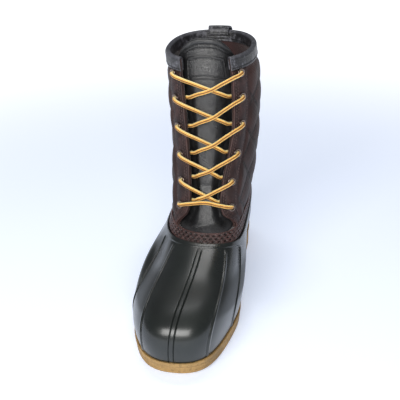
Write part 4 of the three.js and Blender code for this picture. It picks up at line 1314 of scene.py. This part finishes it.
class BOOT_OT_facings(bpy.types.Operator):
    """Cut the leather facings and sew their edges"""

    bl_idname = "boot.facings"
    bl_label = "Facings"
    throat_rows = (2.6 * MM, 4.9 * MM)
    outer_row = 2.2 * MM

    def execute(self, context):
        for side, name in ((-1, "lateral"), (1, "medial")):
            self.facing(context, side, name)
        return {"FINISHED"}

    def place(self, side, distance, share):
        """Skin place at a distance from the throat's edge and a share of the facing's height."""
        u = throat_edge(side, 1.2 + 0.75 * share) + 0 * distance
        for _ in range(4):
            low = climb_to(u, 1, BAND_FOOT + BAND_WIDTH + GAP)
            high = climb_to(u, 2, -BINDING_OUTSIDE - GAP)
            v = low + (high - low) * share
            reach = distance * EYESTAY_WIDTH * facing_share(v - 1)
            u = go_around(throat_edge(side, v), v, side * reach)
        return u, v

    def facing(self, context, side, name):
        """One facing and its three rows of stitches."""
        sizes = context.scene.boot_sizes
        across = edged(30, EYESTAY_WIDTH, 0.7 * MM)
        along = np.concatenate([[0, 0.002], np.linspace(0.006, 0.994, 118), [0.998, 1]])

        def form(distance, share, face):
            u, v = self.place(side, distance, share)
            width = EYESTAY_WIDTH * facing_share(v - 1)
            from_edge = to_end(distance) * width
            ends = to_end(share) * FACING_HEIGHT
            half = OVERLAY_WALL / 2 * rounded(np.minimum(from_edge, ends), OVERLAY_WALL * 0.6)
            from_throat = distance * width
            grooves = sum(bell(from_throat - row, 0.5 * MM) for row in self.throat_rows)
            grooves = grooves + bell(width - from_throat - self.outer_row, 0.5 * MM)
            cross = bell(share - 0.085, 0.004)
            middle = np.clip((from_throat - self.throat_rows[1]) / (width - 7 * MM), 0, 1)
            swell = 0.35 * MM * np.sin(math.pi * middle)
            rumple = 0.38 * MM * np.sin(share * 41 + distance * 3) * np.sin(share * 19 + 2 + distance)
            out = OVERLAY_GAP + OVERLAY_WALL / 2 + face * half
            out = out + (face > 0) * (swell + rumple - 0.28 * MM * grooves - 0.4 * MM * cross)
            return {
                "points": off(u, v, out),
                "map": np.stack([from_throat, share * FACING_HEIGHT], -1),
                "edge": fade(from_edge, 0, 1.3 * MM) * (face >= 0),
                # Painted shade in the stitch grooves and the crease across
                "shade": np.clip(0.55 * grooves + 0.8 * cross, 0, 1) * (face > 0),
            }

        looks = ("brown_leather", ["oiled_leather"], [f"eyestay_{name}"])
        leaf(context, f"facing_{name}", across, along, form, *looks)
        lift = OVERLAY_GAP + OVERLAY_WALL + 0.02 * MM
        share = np.linspace(0.01, 0.99, 160)
        width = EYESTAY_WIDTH * facing_share(1 + share * 0.8 + 0.12)
        insets = [row / width for row in self.throat_rows]
        insets.append(1 - self.outer_row / width)
        pitch = sizes.edge_stitch
        stitch = (pitch, pitch * 0.78, 0.36 * MM, "waxed_thread", "brown_leather")
        for number, inset in enumerate(insets):
            u, v = self.place(side, inset, share)
            sewn_row(context, f"facing_{name}_row_{number + 1}", u, v, lift, *stitch)


class BOOT_OT_binding(bpy.types.Operator):
    """Fold the binding over the collar and add the pull tab"""

    bl_idname = "boot.binding"
    bl_label = "Collar Binding"

    def wrap(self, path, share, lift):
        """Drop below the collar and height over the skin, at a share of a path, lifted off it."""
        fine = np.linspace(0, len(path) - 1, 400)
        smooth = np.stack([self.curve(path[:, k], fine) for k in range(2)], -1)
        run = run_along(smooth)
        at = share * run[-1]
        place = walk(smooth, run, at)
        way = walk(unit(np.gradient(smooth, axis=0)), run, at)
        return place[..., 0] - lift * way[..., 1], place[..., 1] + lift * way[..., 0], run[-1]

    def curve(self, values, at):
        """Smooth curve through values, without loops."""
        i = np.clip(at.astype(int), 0, len(values) - 2)
        s = at - i
        before, here = values[np.maximum(i - 1, 0)], values[i]
        after, later = values[i + 1], values[np.minimum(i + 2, len(values) - 1)]
        m, n = (after - before) / 2, (later - here) / 2
        arrived = 3 * s**2 - 2 * s**3
        bend = m * (s**3 - 2 * s**2 + s) + n * (s**3 - s**2)
        return here * (1 - arrived) + after * arrived + bend

    def folded(self, context, name, path, columns, rows, edges, wall, puff, node, reach):
        """A strap bent over the collar's edge. edges gives both ends around the leg at a height."""

        def form(share, run, face):
            length = self.wrap(path, share, 0)[2]
            near = to_end(share) * length
            from_edge = np.minimum(near, to_end(run) * reach)
            half = wall / 2 * rounded(from_edge, wall * 0.6)
            swell = puff * (1 - bell(near, 2.6 * MM))
            seam = bell(near - 2.2 * MM, 0.5 * MM)
            lift = -face * half - (face > 0) * (swell - 0.3 * MM * seam)
            drop, out, length = self.wrap(path, share, lift)
            low = np.minimum(climb_to(0 * share + BACK_LINE, 2, -drop), 2)
            start, end = edges(low)
            u = start + (end - start) * run
            v = climb_to(u, 2, -drop)
            # The crown over the collar is made paler through the edge number: pale from use, and painted
            # highlight
            crown = bell(drop + 1 * MM, 2.4 * MM)
            rim = fade(from_edge, 0, 1.2 * MM)
            return {
                "points": off(u, v, out),
                "map": np.stack([run * reach, share * length], -1),
                "edge": np.clip(0.75 * crown + rim, 0, 1) * (face >= 0),
                # Painted shade in the seam groove
                "shade": np.clip(0.6 * seam, 0, 1) * (face > 0),
            }

        across = edged(columns[0], columns[1], 0.8 * MM)
        along = edged(rows, reach, 0.8 * MM)
        leaf(context, name, across, along, form, "dark_leather", ["binding_leather"], [node])

    def execute(self, context):
        wall = 1.3 * MM
        outside = 0.25 * MM + wall / 2
        inside = -COLLAR_WALL - 0.2 * MM - wall / 2
        # Drop below the collar and height over the skin, from the outside over the edge
        path = np.array([
            [BINDING_OUTSIDE, outside], [7 * MM, outside], [3 * MM, outside],
            [0.4 * MM, outside - 0.1 * MM], [-1.2 * MM, -COLLAR_WALL / 2],
            [0.4 * MM, inside + 0.1 * MM], [3 * MM, inside], [BINDING_INSIDE, inside],
        ])

        def to_throat(v):
            """Both ends of the binding, at the throat's edges."""
            return throat_edge(1, v), throat_edge(-1, v) + LINE_COUNT

        shape = (path, (40, 26 * MM), 170, to_throat, wall, 0.3 * MM)
        self.folded(context, "collar_binding_fold", *shape, "collar_binding", COLLAR_SPAN)
        over = OVERLAY_GAP + OVERLAY_WALL + 2 * GAP + TAB_WALL / 2
        under = -SHAFT_WALL - LINING_GAP - OVERLAY_WALL - GAP - TAB_WALL / 2
        flat = LINING_GAP + TAB_WALL / 2
        top = -TAB_RISE
        path = np.array([
            [TAB_OUTSIDE, flat], [TAB_OUTSIDE - 10 * MM, flat], [BINDING_OUTSIDE + 6 * MM, flat],
            [BINDING_OUTSIDE, over], [4 * MM, over + 0.5 * MM], [-2 * MM, over + 0.6 * MM],
            [top * 0.85, over * 0.6], [top, -SHAFT_WALL / 2], [top * 0.85, under * 0.75],
            [-1 * MM, under], [TAB_INSIDE - 1 * MM, under],
        ])

        def tab_sides(v):
            """Both sides of the pull loop, over the heel."""
            return [go_around(BACK_LINE, 2, way * TAB_WIDTH / 2) + 0 * v for way in (-1, 1)]

        shape = (path, (70, 62 * MM), 30, tab_sides, TAB_WALL, 0.0)
        self.folded(context, "pull_loop", *shape, "pull_tab", TAB_WIDTH)
        self.rows(context)
        return {"FINISHED"}

    def rows(self, context):
        """Stitches along the binding's lower edge and down the pull loop's sides."""
        pitch = context.scene.boot_sizes.edge_stitch
        stitch = (pitch, pitch * 0.78, 0.34 * MM, "dark_thread", "dark_leather")
        v = climb_to(BACK_LINE, 2, -BINDING_OUTSIDE + 2.2 * MM)
        share = np.linspace(0.006, 0.994, 400)
        start, end = throat_edge(1, v), throat_edge(-1, v) + LINE_COUNT
        u = start + (end - start) * share
        height = climb_to(u, 2, -BINDING_OUTSIDE + 2.2 * MM)
        sewn_row(context, "binding_row", u, height, 1.75 * MM, *stitch)
        for side in (-1, 1):
            drop = np.linspace(BINDING_OUTSIDE + 8 * MM, TAB_OUTSIDE - 2.5 * MM, 60)
            u = go_around(BACK_LINE, 2, side * (TAB_WIDTH / 2 - 2.4 * MM)) + 0 * drop
            name = f"loop_row_{'lateral' if side > 0 else 'medial'}"
            lift = LINING_GAP + TAB_WALL + 0.02 * MM
            sewn_row(context, name, u, climb_to(u, 2, -drop), lift, *stitch)


class BOOT_OT_tongue(bpy.types.Operator):
    """Shape the bellows tongue"""

    bl_idname = "boot.tongue"
    bl_label = "Tongue"
    hem_rows = (5.0 * MM, 7.4 * MM)

    def place(self, s, j):
        """Skin place and sink of the tongue's outer face, s from -1 to 1 across, j from 0 to 1 up."""
        side = np.where(s < 0, -1, 1)
        foot = climb_to(FRONT_LINE, 1, TONGUE_FOOT)
        top = 2 + TONGUE_RISE * (1 - 0.75 * s**2 - 0.4 * s**6) / (3 * COLLAR_EASE)
        v = foot + (top - foot) * j
        edge_v = np.clip(v, THROAT_FOOT, 2)
        reach = np.abs(s) * (1 + TONGUE_REACH / THROAT_HALF)
        edge = np.where(side < 0, throat_edge(-1, edge_v), throat_edge(1, edge_v))
        beyond = np.maximum(0, reach - 1) * THROAT_HALF
        u = FRONT_LINE + (edge - FRONT_LINE) * np.minimum(reach, 1)
        u = go_around(u, edge_v, side * beyond)
        fold = (TONGUE_VALLEY - TONGUE_MIDDLE) * ease(reach, 0.35, 1) * fade(v, 1.75, 1.95)
        inner = 1.25 - 0.75 * ease(v, 1.84, 2.0)
        seam = ease(reach, inner, 1 + TONGUE_REACH / THROAT_HALF)
        free = ease(v, THROAT_FOOT, THROAT_FOOT + 0.1)
        deep = TONGUE_MIDDLE + fold + TONGUE_FALL * ease(v, 1.8, 2.15)
        lining = SHAFT_WALL + LINING_GAP + BINDING_ROOM * ease(v, 1.84, 1.97)
        share = np.maximum(seam, 1 - free)
        return u, v, deep + (lining - deep) * share

    def frame_rows(self, context):
        """Stitches around the blank embossed frame."""
        inset = 1.5 * MM
        half = LABEL_HALF - inset / (TONGUE_SPAN / 2)
        drop = LABEL_HIGH / 2 - inset
        s, fall = corner_run(half, LABEL_DROP - drop, LABEL_DROP + drop, 40)
        u, v, sink = self.place(s, 1 - fall / TONGUE_HEIGHT)
        stitch = (2.6 * MM, 1.7 * MM, 0.46 * MM, "dark_thread", "tongue_leather")
        sewn_row(context, "frame_row", u, v, -sink + 0.05 * MM, *stitch)

    def execute(self, context):
        across = edged(96, TONGUE_SPAN, 0.9 * MM)
        lip = 1 - np.array([0.012, 0.009, 0.006, 0.0035, 0.0018, 0.0006, 0])
        along = np.concatenate([np.linspace(0, 0.7, 80), np.linspace(0.705, 0.985, 90), lip])

        def form(share, j, face):
            s = 2 * share - 1
            u, v, sink = self.place(s, j)
            from_top = (1 - j) * TONGUE_HEIGHT
            from_edge = np.minimum(to_end(share) * TONGUE_SPAN, from_top)
            half = TONGUE_WALL / 2 * rounded(from_edge, TONGUE_WALL * 0.55)
            hem = sum(bell(from_top - row, 0.55 * MM) for row in self.hem_rows)
            hem = hem * fade(np.abs(s), 0.72, 0.8)
            plate_x = (np.abs(s) - LABEL_HALF) * TONGUE_SPAN / 2
            plate_y = np.abs(from_top - LABEL_DROP) - LABEL_HIGH / 2
            inside = np.maximum(plate_x, plate_y)
            plate = 0.45 * MM * fade(inside, 0.2 * MM, 0.7 * MM)
            plate = plate - 0.4 * MM * bell(inside + 1.5 * MM, 0.5 * MM)
            piping = fade(from_top, 3.2 * MM, 4.4 * MM)
            piping = 0.5 * MM * ease(from_top, 0.3 * MM, 1.5 * MM) * piping
            crease = 0.5 * MM * bell(v - 1.43, 0.012) * fade(np.abs(s), 0.3, 0.55)
            low_crease = 0.35 * MM * bell(v - 1.20 - 0.1 * s, 0.01)
            crease = crease + low_crease * fade(np.abs(s - 0.1), 0.3, 0.5)
            ripple = 0.25 * MM * np.sin(v * 31 + 4 * s) * np.sin(v * 17 + 1) * fade(v, 1.75, 1.85)
            # Painted highlight on the tongue's base and painted light on the plate inside the frame, carried
            # in the edge number with the pale edges
            wear_and_highlight_mask = 1.2 * bell(v - 1.12, 0.08) * fade(np.abs(s), 0.45, 0.9)
            wear_and_highlight_mask = wear_and_highlight_mask + 0.6 * fade(inside, -2.6 * MM, -1.9 * MM)
            relief = plate + piping + ripple - crease - 0.45 * MM * hem
            out = -sink - TONGUE_WALL / 2 + face * half + (face > 0) * relief
            # Painted shade in the hem grooves and the frame's groove
            dark = 0.8 * hem + 0.6 * bell(inside + 1.5 * MM, 0.6 * MM)
            return {
                "points": off(u, v, out),
                "map": np.stack([share * TONGUE_SPAN, j * TONGUE_HEIGHT], -1),
                "edge": np.maximum(1 - ease(from_edge, 0, 1.4 * MM), wear_and_highlight_mask) * (face >= 0),
                "shade": np.clip(dark, 0, 1) * (face > 0),
            }

        looks = ("tongue_leather", ["bellows_leather"], ["tongue"])
        leaf(context, "bellows_tongue", across, along, form, *looks)
        self.frame_rows(context)
        stitch = (2.9 * MM, 2.1 * MM, 0.42 * MM, "dark_thread", "tongue_leather")
        s = np.linspace(-0.72, 0.72, 200)
        for number, row in enumerate(self.hem_rows):
            u, v, sink = self.place(s, 1 - row / TONGUE_HEIGHT)
            sewn_row(context, f"tongue_hem_row_{number + 1}", u, v, -sink, *stitch)
        return {"FINISHED"}


def corner_run(half_wide, low, high, count):
    """Share across and drop from the top, once around an upright rectangle."""
    wide = np.linspace(-half_wide, half_wide, count)
    tall = np.linspace(low, high, count)
    across = np.concatenate([wide, 0 * tall + half_wide, wide[::-1], 0 * tall - half_wide])
    return across, np.concatenate([0 * wide + high, tall[::-1], 0 * wide + low, tall])


def seat(side, row):
    """Skin place of an eyelet: side -1 lateral or 1 medial, row 0 at the bottom."""
    v = np.array(1 + EYELET_ROWS["up"][row])
    return go_around(throat_edge(side, v), v, side * EYELET_INSET), v


def standing(u, v):
    """The turn and move from the origin's upright axis to straight out of a skin place."""
    turn = Vector((0, 0, 1)).rotation_difference(Vector(outward(u, v)))
    return Matrix.Translation(Vector(skin(u, v) + ORIGIN)) @ turn.to_matrix().to_4x4()


class BOOT_OT_eyelets(bpy.types.Operator):
    """Roll the eyelets and punch their holes"""

    bl_idname = "boot.eyelets"
    bl_label = "Eyelets"

    def execute(self, context):
        model = self.rolled()
        for side, name in ((-1, "lateral"), (1, "medial")):
            for row in range(6):
                copy = bpy.data.objects.new(f"rolled_eyelet_{name}_{row + 1}", model.data.copy())
                context.collection.objects.link(copy)
                copy.data.transform(standing(*seat(side, row)))
                dress(context, copy, ["rolled_gunmetal"], [f"eyelet_{name}_{row + 1}"], 60)
        bpy.data.objects.remove(model)
        self.punch(context)
        return {"FINISHED"}

    def rolled(self):
        """One eyelet at the origin, turned from its section."""
        face = OVERLAY_GAP + OVERLAY_WALL + 1.5 * GAP
        back = -SHAFT_WALL - GAP
        section = [(EYELET_BORE, back), (EYELET_BARREL, back), (EYELET_BARREL, face - 0.2 * MM)]
        middle = (EYELET_BARREL + EYELET_FLANGE) / 2 - 0.15 * MM
        wide = (EYELET_FLANGE - EYELET_BORE) / 2
        for turn in np.radians(np.linspace(-90, 200, 14)):
            rise = EYELET_DOME * (0.45 + 0.55 * math.sin(turn))
            section.append((middle + wide * math.cos(turn), face + rise))
        section.append((EYELET_BORE, face - 0.3 * MM))
        deselect()
        bpy.ops.mesh.primitive_circle_add(vertices=len(section), radius=1)
        obj = bpy.context.active_object
        for vertex, (radius, height) in zip(obj.data.vertices, section):
            vertex.co = (radius, 0, height)
        bpy.ops.object.mode_set(mode="EDIT")
        bpy.ops.mesh.select_all(action="SELECT")
        bpy.ops.mesh.spin(steps=32, angle=math.tau, center=(0, 0, 0), axis=(0, 0, 1))
        close_up(0.01 * MM)
        # The crowns are marked in the edge number for the finish's painted highlight
        crown = face + EYELET_DOME * 0.6
        edge = obj.data.attributes.new("edge", "FLOAT", "POINT")
        edge.data.foreach_set("value", [float(v.co.z > crown) for v in obj.data.vertices])
        return obj

    def punch(self, context):
        """Cut the bores through the shaft and the facings."""
        bore = EYELET_BARREL + 0.3 * MM
        pierced = {"quilted_shaft": (-1, 1), "facing_lateral": (-1,), "facing_medial": (1,)}
        for name, sides in pierced.items():
            deselect()
            cutters = []
            for side in sides:
                for row in range(6):
                    bpy.ops.mesh.primitive_cylinder_add(vertices=24, radius=bore, depth=16 * MM)
                    bar = bpy.context.active_object
                    bar.data.transform(standing(*seat(side, row)))
                    cutters.append(bar)
            deselect()
            for bar in cutters:
                bar.select_set(True)
            context.view_layer.objects.active = cutters[0]
            bpy.ops.object.join()
            cutter = context.view_layer.objects.active
            target = bpy.data.objects[name]
            deselect()
            target.select_set(True)
            context.view_layer.objects.active = target
            cut = target.modifiers.new("bores", "BOOLEAN")
            cut.operation = "DIFFERENCE"
            cut.object = cutter
            cut.solver = "EXACT"
            bpy.ops.object.modifier_apply(modifier=cut.name)
            bpy.data.objects.remove(cutter)


class BOOT_OT_lace(bpy.types.Operator):
    """Thread the lace through the eyelets"""

    bl_idname = "boot.lace"
    bl_label = "Lace"
    # Height of the lace's middle over the skin: on the tongue, on the facings and over the eyelets
    low = LACE_RADIUS - TONGUE_MIDDLE + 4 * GAP
    edge = OVERLAY_GAP + OVERLAY_WALL + LACE_RADIUS + 0.15 * MM
    crown = OVERLAY_GAP + OVERLAY_WALL + 1.5 * GAP + EYELET_DOME + LACE_RADIUS

    def between(self, side, share, v, out):
        """A place across the throat, from this side's edge to the other's."""
        start, end = throat_edge(side, v), throat_edge(-side, v)
        return off(start + (end - start) * share, v, out)

    def crossing(self, side, row, middle):
        """From under one facing to the eyelet of this row on the other side, and in."""
        low = EYELET_ROWS["up"][row - 1]
        high = EYELET_ROWS["up"][row]
        start = 1 + low + (high - low) * EYELET_ROWS["start"][row]
        end = 1 + high
        under = -SHAFT_WALL - LINING_GAP - LACE_RADIUS
        u, v = seat(-side, row)
        tucked = go_around(throat_edge(side, start), start, side * 3 * MM)
        deep = go_around(throat_edge(side, start), start, side * 8 * MM)
        width = np.linalg.norm(self.between(side, 0, end, 0) - self.between(side, 1, end, 0))
        climb = (end - start) * width / (width + EYELET_INSET * 0.8)
        centre = self.between(side, 0.5, start + climb / 2, middle)
        brink = self.between(side, 0.98, start + climb, self.edge)
        near = go_around(throat_edge(-side, v), v, -side * (EYELET_INSET - 3.2 * MM))
        short = v - (end - start - climb) * 0.3
        return np.array([
            off(deep, start - 0.02, under),
            off(tucked, start, under),
            self.between(side, 0.08, start + climb * 0.08, under + 3 * GAP),
            self.between(side, 0.28, start + climb * 0.28, (self.low + middle) / 2),
            centre,
            centre * 0.45 + brink * 0.55,
            brink,
            off(near, short, self.crown),
            off(u, v, self.crown - 1.5 * MM),
            off(u, v, 0.5 * MM),
            off(u, v, -SHAFT_WALL - 2.6 * MM),
        ])

    def bar(self):
        """Over both facings between the lowest eyelets."""
        points = []
        for side in (-1, 1):
            u, v = seat(side, 0)
            near = go_around(u, v, -side * 3.4 * MM)
            half = [
                off(u, v, -SHAFT_WALL - 2.6 * MM),
                off(u, v, 0.5 * MM),
                off(u, v, self.crown - 1.5 * MM),
                off(near, climb_to(near, v, 1.2 * MM), self.crown),
                self.between(side, 0.06, climb_to(FRONT_LINE, v, 5 * MM), self.edge),
            ]
            points.append(half)
        top = self.between(-1, 0.5, climb_to(FRONT_LINE, v, 8 * MM), self.low + 1.5 * MM)
        return np.array([*points[0], top, *points[1][::-1]])

    def execute(self, context):
        self.cord(context, "lace_over_instep", self.bar(), "lace_bar")
        for row in range(1, 6):
            strands = [self.crossing(1, row, self.low), self.crossing(-1, row, self.low + 2 * LACE_RADIUS)]
            self.cord(context, f"lace_under_{row}", strands[0], f"lace_cross_{row}")
            self.cord(context, f"lace_over_{row}", strands[1], f"lace_cross_{row}")
        return {"FINISHED"}

    def cord(self, context, name, points, node):
        """A round strand along points, with closed ends and its own map."""
        deselect()
        bpy.ops.curve.primitive_bezier_curve_add()
        curve = bpy.context.active_object
        spline = curve.data.splines[0]
        spline.bezier_points.add(len(points) - 2)
        for knot, place in zip(spline.bezier_points, points + ORIGIN):
            knot.co = place
            knot.handle_left_type = "AUTO"
            knot.handle_right_type = "AUTO"
        spline.resolution_u = 14
        curve.location = (0, 0, 0)
        bpy.ops.object.convert(target="MESH")
        path = np.array([v.co for v in curve.data.vertices])
        bpy.data.objects.remove(curve)
        keep = np.concatenate([[True], np.linalg.norm(np.diff(path, axis=0), axis=1) > 0.05 * MM])
        path = path[keep]
        run = run_along(path)
        fine = np.linspace(0, run[-1], max(24, int(run[-1] / (1.1 * MM))))
        path = walk(path, run, fine)
        ways = unit(np.gradient(path, axis=0))
        sides = np.zeros_like(path)
        middle = len(path) // 2
        away = path[middle] - ORIGIN - (COLLAR_SHIFT, -COLLAR_SETBACK, path[middle][2])
        away[2] = 0
        sides[middle] = unit(away - ways[middle] * np.dot(away, ways[middle]))
        for k in (*range(middle + 1, len(path)), *range(middle - 1, -1, -1)):
            before = sides[k - 1] if k > middle else sides[k + 1]
            sides[k] = unit(before - ways[k] * np.dot(before, ways[k]))
        tops = np.cross(ways, sides)
        ring = 14
        ends = np.ones(len(path))
        ends[0] = ends[-1] = 0.02

        def form(i, j):
            angle = 2 * math.pi * i / ring
            round_ = sides[j] * np.cos(angle)[:, None] + tops[j] * np.sin(angle)[:, None]
            return {
                "points": path[j] - ORIGIN + round_ * (LACE_RADIUS * ends[j])[:, None],
                "map": np.stack([i / ring, fine[j]], -1),
                "lap": 1.0,
            }

        obj = woven(name, ring, len(path) - 1, form)
        dress(context, obj, ["braided_lace"], [node], 80)


class BOOT_OT_footbed(bpy.types.Operator):
    """Cover the footbed, which keeps its own solid"""

    bl_idname = "boot.footbed"
    bl_label = "Footbed"

    def execute(self, context):
        node = frame["nodes"]["insole"]
        node.data.materials.clear()
        node.data.materials.append(finish_of(context, "brushed_lining"))
        return {"FINISHED"}


# The photograph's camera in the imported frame, and how it looks
CAMERA_PLACE = (101.221 * MM, -677.014 * MM, 356.738 * MM)
CAMERA_YAW = -0.099
CAMERA_PITCH = 0.442
CAMERA_ROLL = -0.014
CAMERA_FOCAL = 628.07
PICTURE_SIDE = 400
CAMERA_AIM = (7 * MM, -25 * MM, 108 * MM)
LIGHT_AIM = (0, -30 * MM, 100 * MM)


class BOOT_OT_stage(bpy.types.Operator):
    """Set the floor, the lights and the camera"""

    bl_idname = "boot.stage"
    bl_label = "Studio"

    def execute(self, context):
        deselect()
        bpy.ops.mesh.primitive_plane_add(size=14, location=(0, 0, 0))
        floor = context.active_object
        floor.name = "studio_floor"
        floor.data.materials.append(floor_finish())
        self.backdrop(context)
        context.scene.view_settings.view_transform = "Standard"
        self.light("front_window", (-0.1, -1.26, 0.74), (1.5, 0.56), 23, (1, 0.99, 0.97))
        self.light("top_window", (-0.06, 0.43, 1.7), (0.95, 0.24), 7.5, (0.98, 0.99, 1))
        self.camera(context)
        return {"FINISHED"}

    def backdrop(self, context):
        """A dim sky that lights the boot, and a white one that the camera sees."""
        scene = context.scene
        scene.world = scene.world or bpy.data.worlds.new("studio")
        scene.world.use_nodes = True
        tree = scene.world.node_tree
        dim = tree.nodes["Background"]
        dim.inputs["Color"].default_value = (*linear(226, 230, 240), 1)
        dim.inputs["Strength"].default_value = 0.26
        white = tree.nodes.new("ShaderNodeBackground")
        white.inputs["Color"].default_value = (1, 1, 1, 1)
        rays = tree.nodes.new("ShaderNodeLightPath")
        mix = tree.nodes.new("ShaderNodeMixShader")
        tree.links.new(rays.outputs["Is Camera Ray"], mix.inputs["Fac"])
        tree.links.new(dim.outputs["Background"], mix.inputs[1])
        tree.links.new(white.outputs["Background"], mix.inputs[2])
        tree.links.new(mix.outputs["Shader"], tree.nodes["World Output"].inputs["Surface"])

    def light(self, name, place, size, power, colour):
        """A window of a width and height in metres and a power in watts, turned to the boot."""
        turn = (Vector(LIGHT_AIM) - Vector(place)).to_track_quat("-Z", "Y").to_euler()
        bpy.ops.object.light_add(type="AREA", location=place, rotation=turn)
        lamp = bpy.context.active_object
        lamp.name = name
        lamp.data.shape = "RECTANGLE"
        lamp.data.size, lamp.data.size_y = size
        lamp.data.energy = power
        lamp.data.color = colour

    def camera(self, context):
        """The photograph's camera, turned the shortest way to look at this one boot."""
        bpy.ops.object.camera_add(location=Vector(CAMERA_PLACE) + Vector(ORIGIN))
        cam = bpy.context.active_object
        cam.name = "photo_camera"
        cam.data.sensor_width = 36
        cam.data.lens = CAMERA_FOCAL / PICTURE_SIDE * cam.data.sensor_width
        cam.data.clip_start = 0.05
        cam.data.clip_end = 50
        ahead = Vector((
            math.sin(CAMERA_YAW) * math.cos(CAMERA_PITCH),
            math.cos(CAMERA_YAW) * math.cos(CAMERA_PITCH),
            -math.sin(CAMERA_PITCH),
        ))
        right = Vector((math.cos(CAMERA_YAW), -math.sin(CAMERA_YAW), 0))
        up = right.cross(ahead)
        turned = Matrix((right, up, -ahead)).transposed()
        turned = Matrix.Rotation(CAMERA_ROLL, 3, ahead) @ turned
        swing = ahead.rotation_difference((Vector(CAMERA_AIM) - cam.location).normalized())
        cam.rotation_mode = "QUATERNION"
        cam.rotation_quaternion = swing @ turned.to_quaternion()
        context.scene.camera = cam


class BOOT_PT_panel(bpy.types.Panel):
    """Sizes, colours and the steps that build the boot"""

    bl_label = "Duck Boot"
    bl_idname = "BOOT_PT_panel"
    bl_space_type = "VIEW_3D"
    bl_region_type = "UI"
    bl_category = "Duck Boot"

    def draw(self, context):
        for group in (context.scene.boot_sizes, context.scene.boot_colours):
            column = self.layout.column()
            for name in group.__annotations__:
                column.prop(group, name)
        for step in STEPS:
            self.layout.operator(step.bl_idname)


STEPS = (
    BOOT_OT_stage,
    BOOT_OT_outsole,
    BOOT_OT_footbed,
    BOOT_OT_shell,
    BOOT_OT_shaft,
    BOOT_OT_band,
    BOOT_OT_facings,
    BOOT_OT_binding,
    BOOT_OT_tongue,
    BOOT_OT_eyelets,
    BOOT_OT_lace,
)
CLASSES = (BootColours, BootSizes, *STEPS, BOOT_PT_panel)


def register():
    for kind in CLASSES:
        bpy.utils.register_class(kind)
    bpy.types.Scene.boot_colours = PointerProperty(type=BootColours)
    bpy.types.Scene.boot_sizes = PointerProperty(type=BootSizes)


def unregister():
    del bpy.types.Scene.boot_sizes
    del bpy.types.Scene.boot_colours
    for kind in reversed(CLASSES):
        bpy.utils.unregister_class(kind)


def main():
    """Build every piece in order."""
    register()
    bpy.ops.boot.stage()
    bpy.ops.boot.outsole()
    bpy.ops.boot.footbed()
    bpy.ops.boot.shell()
    bpy.ops.boot.shaft()
    bpy.ops.boot.band()
    bpy.ops.boot.facings()
    bpy.ops.boot.binding()
    bpy.ops.boot.tongue()
    bpy.ops.boot.eyelets()
    bpy.ops.boot.lace()
    deselect()


if __name__ == "__main__":
    main()
